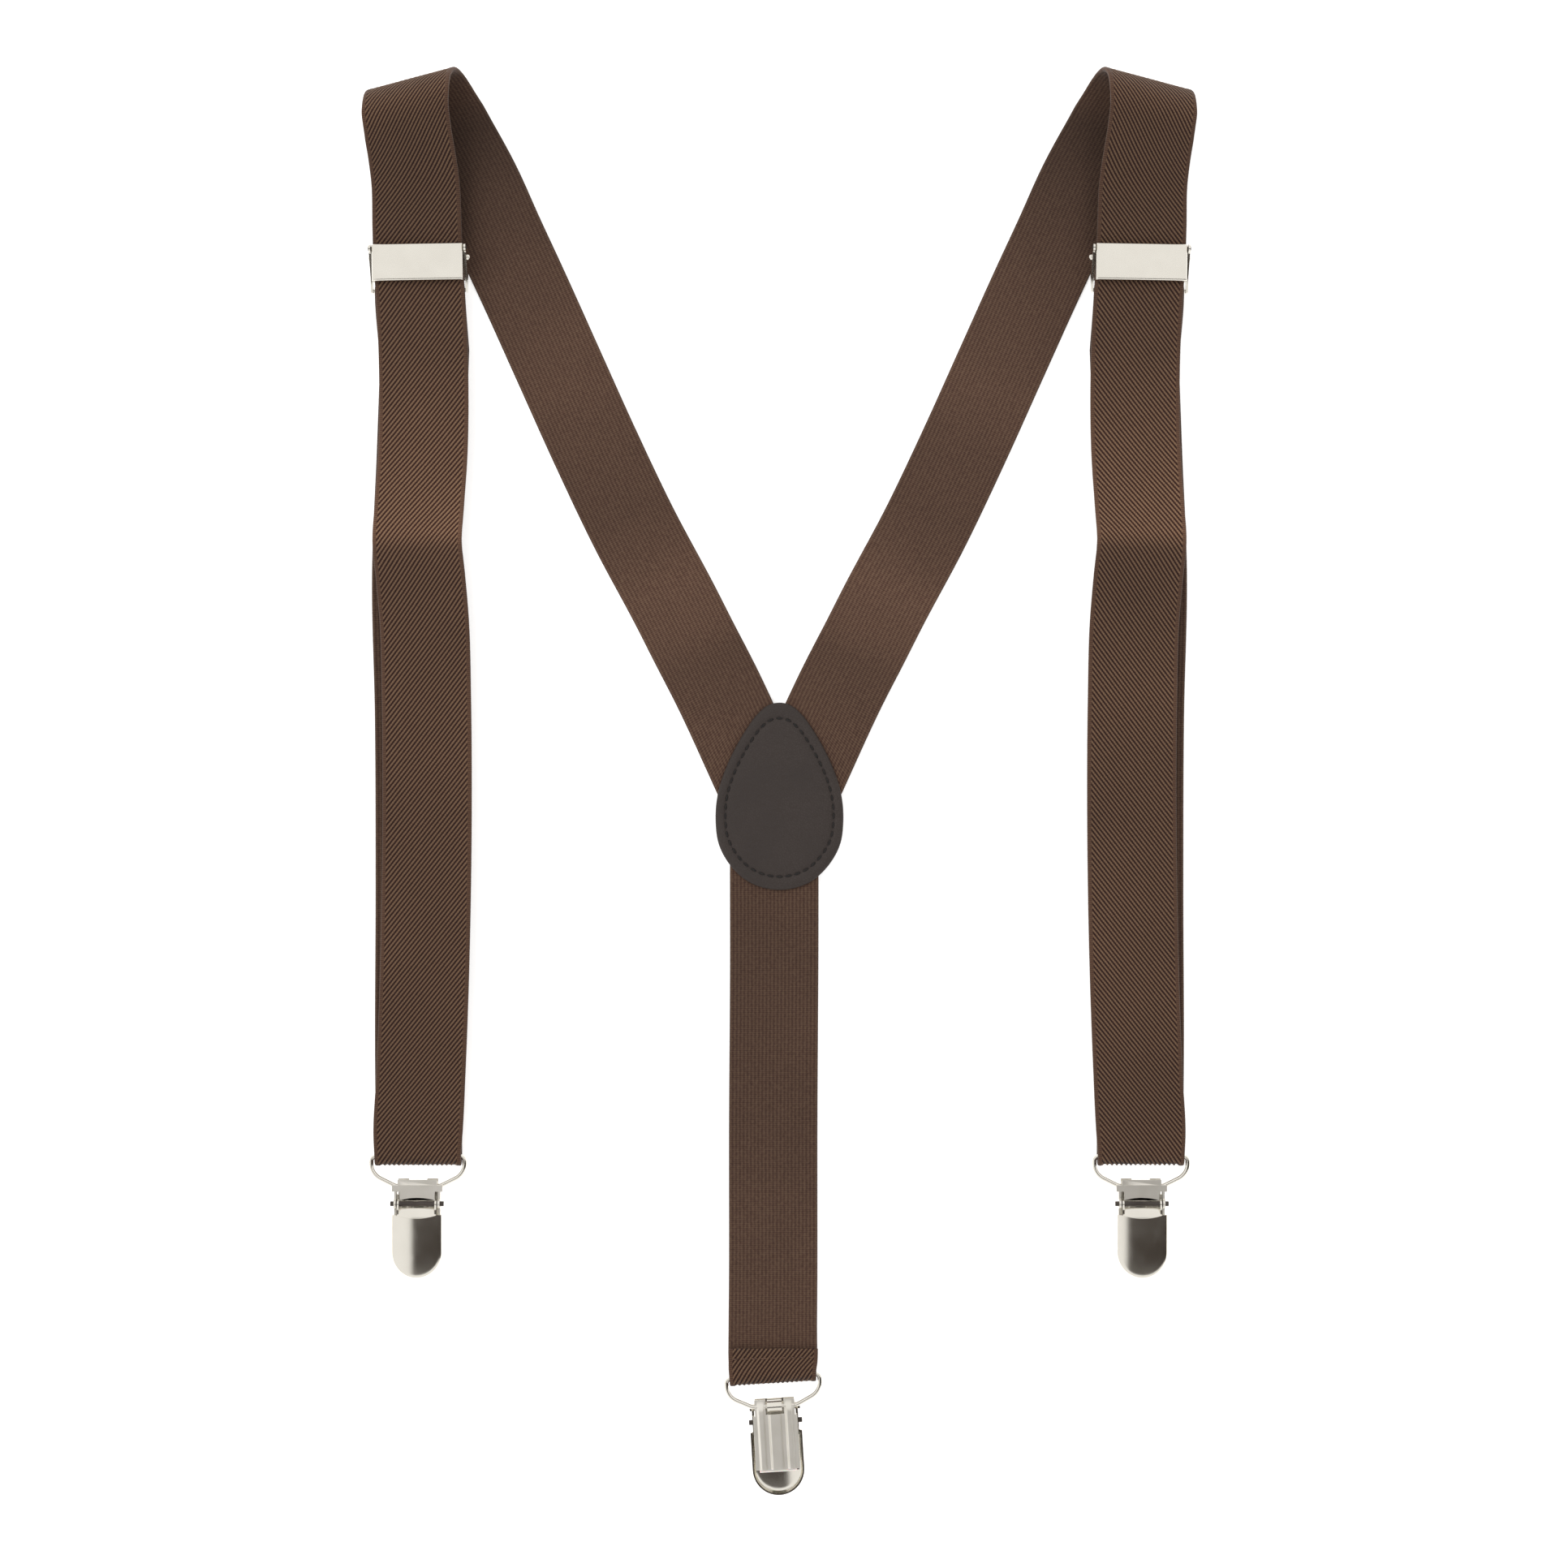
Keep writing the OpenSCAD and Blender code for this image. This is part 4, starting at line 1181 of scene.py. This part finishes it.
def ear_part(x0, x1):
    """An ear of the lever: a plate round the pin that reaches back under the tray."""
    corners = [(-5.6, 1.2), (-4.4, 2.9), (-6.1, 3.3), (-8.7, 3.3), (-8.7, 2.6)]
    count = 48
    rings = [[], []]
    for k in range(count):
        a = 2 * math.pi * k / count
        ray = (math.cos(a), math.sin(a))
        reach = EAR_R
        for (ay, az), (by, bz) in zip(corners, corners[1:] + corners[:1]):
            ey, ez = by - ay, bz - az
            cross = ray[0] * ez - ray[1] * ey
            if abs(cross) < 1e-9:
                continue
            t = ((ay - PIN[0]) * ez - (az - PIN[1]) * ey) / cross
            u = ((ay - PIN[0]) * ray[1] - (az - PIN[1]) * ray[0]) / cross
            if t > 0 and 0 <= u <= 1:
                reach = max(reach, t)
        rings[0].append((PIN[0] + PIN_HOLE_R * ray[0], PIN[1] + PIN_HOLE_R * ray[1]))
        rings[1].append((PIN[0] + reach * ray[0], PIN[1] + reach * ray[1]))
    points = [(x, y, z) for x in (x0, x1) for ring in rings for y, z in ring]
    return points, bands(count, ((0, 1), (2, 3), (0, 2), (1, 3)))


lever_parts = join([shell(lever_surface(0, 0), lever_surface(SHEET_T, SHEET_T), close_last=False),
                    shell(lip_surface(0), lip_surface(0.4)), ear_part(5.1, 5.6), ear_part(-5.6, -5.1)])
print("lever:", len(lever_parts[0]), "points")

# %% [markdown]
# ## The clip's jaw
# The jaw hangs on the wire by two knuckles. It is a ribbed plate, and the ribs make it stiff.
# The grid here runs past its slot, so a mask says which of its cells are sheet, and wherever a
# cell meets the open side of the mask its edge is closed.

# %% The jaw's ribbed plate
JAW_SLOPE = math.radians(4)
JAW_W = -1.08
RIB_D = 0.45
SLOT_HALF = 2.6
SLOT_FOOT = -2.15
NECK_HALF = 5.7
NECK_FOOT = -2.6


def jaw_surface(lift):
    """The ribbed plate, and which of its cells are there."""
    ribs_at = ((0.0, 1.65), (4.0, 0.85), (-4.0, 0.85))
    xs = np.unique(np.concatenate([np.linspace(-6.3, 6.3, 85),
                                   [-SLOT_HALF, SLOT_HALF, -NECK_HALF, NECK_HALF]]))
    ys = np.unique(np.concatenate([np.linspace(-17.7, 2, 30), [SLOT_FOOT, NECK_FOOT]]))
    rib = np.zeros(len(xs))
    for middle, half in ribs_at:
        edge = np.clip((half + 0.3 - np.abs(xs - middle)) / 0.6, 0, 1)
        rib = np.maximum(rib, edge * edge * (3 - 2 * edge))
    fade = np.clip((1.2 - ys) / 2, 0, 1)[:, None]
    w = JAW_W + lift - RIB_D * rib[None, :] * fade
    y, x = np.meshgrid(ys, xs, indexing="ij")
    points = np.stack([x, y * math.cos(JAW_SLOPE) - w * math.sin(JAW_SLOPE),
                       y * math.sin(JAW_SLOPE) + w * math.cos(JAW_SLOPE)], axis=-1)
    cell_x, cell_y = (xs[:-1] + xs[1:]) / 2, (ys[:-1] + ys[1:]) / 2
    slot_open = (np.abs(cell_x)[None, :] < SLOT_HALF) & (cell_y[:, None] > SLOT_FOOT)
    neck_open = (np.abs(cell_x)[None, :] > NECK_HALF) & (cell_y[:, None] > NECK_FOOT)
    return points, ~(slot_open | neck_open)


# %% The whole jaw
KNUCKLE = (0.75, 1.18)


def masked_shell(outer, inner, there):
    """Like shell(), for the cells of the grid that are there."""
    rows, columns = outer.shape[:2]
    back = rows * columns
    faces, sides = [], {}
    for i, j in zip(*np.nonzero(there)):
        a = int(i * columns + j)
        cell = (a, a + 1, a + columns + 1, a + columns)
        faces += [cell, tuple(k + back for k in cell)]
        for edge in zip(cell, cell[1:] + cell[:1]):
            sides.setdefault(frozenset(edge), []).append(edge)
    faces += [(a, b, b + back, a + back) for edges in sides.values() if len(edges) == 1 for a, b in edges]
    used = sorted({k for face in faces for k in face})
    new = {k: n for n, k in enumerate(used)}
    points = [*outer.reshape(-1, 3), *inner.reshape(-1, 3)]
    return [points[k] for k in used], [tuple(new[k] for k in face) for face in faces]


def tube_part(x0, x1, r_in, r_out, count=40):
    points = [(x, r * math.cos(2 * math.pi * k / count), r * math.sin(2 * math.pi * k / count))
              for x in (x0, x1) for r in (r_in, r_out) for k in range(count)]
    return points, bands(count, ((0, 1), (2, 3), (0, 2), (1, 3)))


jaw_outside, there = jaw_surface(0)
jaw_parts = join([masked_shell(jaw_outside, jaw_surface(SHEET_T)[0], there),
                  tube_part(2.6, 5.6, *KNUCKLE), tube_part(-5.6, -2.6, *KNUCKLE)])
print("jaw:", len(jaw_parts[0]), "points")

# %% [markdown]
# ## The clips in place
# Each clip takes its lever and its jaw from the two meshes above, and its plate, pin and grip
# from the frame. Copying a frame's mesh keeps its exact holes, but a copied mesh is cut into
# long triangles that shade in streaks. So flat triangles are merged first, and then every
# edge sharper than a set angle is rounded.

# %% Clips in place
for side in ("left", "right", "back"):
    points, faces = lever_parts
    metal_piece("lever_tray_" + side, at_clip(points, side), faces, "lever_" + side, "clip_lever_" + side)
    plate_finish = nickel if side == "back" else satin_nickel
    from_frame("clip_body_" + side, "clip_" + side, "clip_frame_" + side, plate_finish)
    points, faces = jaw_parts
    metal_piece("jaw_plate_" + side, at_clip(points, side), faces, "jaw_" + side, "clip_jaw_" + side,
                satin_nickel)
    # the pin's dark nickel is painted shade
    from_frame("pivot_pin_" + side, "clip_" + side, "clip_pin_" + side, shade_dark_nickel)
    from_frame("grip_pad_" + side, "clip_" + side, "clip_grip_" + side, grip)

# %% [markdown]
# ## The adjusters
# An adjuster's cover is a strip of plate folded down at both ends over the frame's cheeks and
# pinned there. Under its lower edge are teeth that bite the webbing when it is shut. The
# cheeks, the bar that carries the tail and the pins keep the frame's own shape; the rivets'
# heads are drawn anew as studs on the cheeks.

# %% The adjuster's cover
PLATE_HALF = 12.95
PLATE_H = 10.4
PLATE_TOP = 8.9
PLATE_ROLL = 0.45
PIVOT = (4.1, 7.85)
PIVOT_R = 0.95


def cover_surface(inset):
    """A grid over the cover: down one flange, over the plate, down the other."""
    rows = []
    lengthwise = [0, 0.06, 0.2, 0.45, 0.9, 2, 3.2, 4.4, 5.6, 6.8, 8, 8.7, 9.3, 9.65, 9.95, 10.2, 10.34,
                  PLATE_H]
    for down in lengthwise:
        y = down - PLATE_H / 2
        from_edge = min(down, PLATE_H - down)
        roll = max(PLATE_ROLL - from_edge, 0)
        drop = 0.8 * (PLATE_ROLL - math.sqrt(PLATE_ROLL**2 - roll**2)) * (1 if inset == 0 else 0.4)
        if y > PIVOT[0] + PIVOT_R:
            foot = PLATE_TOP - 0.62
        elif y > PIVOT[0] - PIVOT_R:
            foot = PIVOT[1] - math.sqrt(PIVOT_R**2 - (y - PIVOT[0])**2)
        else:
            foot = PIVOT[1]
        half, top, r = PLATE_HALF - inset, PLATE_TOP - inset, 0.6 - inset * 0.8
        side = [(half, foot), (half, min(foot + 0.2, top - r))]
        for a in np.radians(np.linspace(0, 90, 7)):
            side.append((half - r + r * math.cos(a), max(top - r + r * math.sin(a), foot)))
        flat = [(x, top + 0.1 * (1 - (x / half) ** 2)) for x in np.linspace(half - r, 0, 9)[1:]]
        right = side + flat
        row = [(-x, y, z - drop) for x, z in right] + [(x, y, z - drop) for x, z in reversed(right[:-1])]
        rows.append(row)
    return np.array(rows)


# %% Teeth and rivets
TOOTH_PITCH = 1.4
TOOTH_HALF = 0.35
RIVET_AT = (1.6, 6.15)


def stud_part(x0, x1, count=32):
    """A rivet's head on a cheek, standing from x0 out to x1, with a round edge."""
    rings = ((0, 0.8), (0.55, 0.8), (0.85, 0.62), (1, 0.3))
    around = [2 * math.pi * k / count for k in range(count)]
    points = [(x0 + (x1 - x0) * t, RIVET_AT[0] + r * math.cos(a), RIVET_AT[1] + r * math.sin(a))
              for t, r in rings for a in around]
    faces = bands(count, zip(range(len(rings)), range(1, len(rings))))
    return points, [*faces, tuple(range(count)), tuple(range(len(points) - count, len(points)))]


teeth = [box_part((i * TOOTH_PITCH - TOOTH_HALF, -4.9, 6.9), (i * TOOTH_PITCH + TOOTH_HALF, -4.4, 8.45))
         for i in range(-8, 9)]
cover_parts = join([shell(cover_surface(0), cover_surface(0.5)), *teeth])
# the inner rivet's head stands out, and the outer one is set flat
studs = join([stud_part(13.8, 14.8), stud_part(-13.8, -14.1)])
print("cover:", len(teeth), "teeth,", len(cover_parts[0]), "points")

# %% Adjusters in place
for side in ("left", "right"):
    points, faces = cover_parts
    metal_piece("adjuster_plate_" + side, at_slot(points, side), faces, "adjuster_cover_" + side,
                "adjuster_cover_" + side)
    from_frame("adjuster_body_" + side, "adjuster_" + side, "adjuster_frame_" + side, nickel)
    # the pins' dark nickel is painted shade
    from_frame("adjuster_pivots_" + side, "adjuster_" + side, "adjuster_pins_" + side, shade_dark_nickel)
    points, faces = studs
    metal_piece("adjuster_studs_" + side, at_slot(points, side), faces, "adjuster_" + side,
                "adjuster_rivets_" + side)
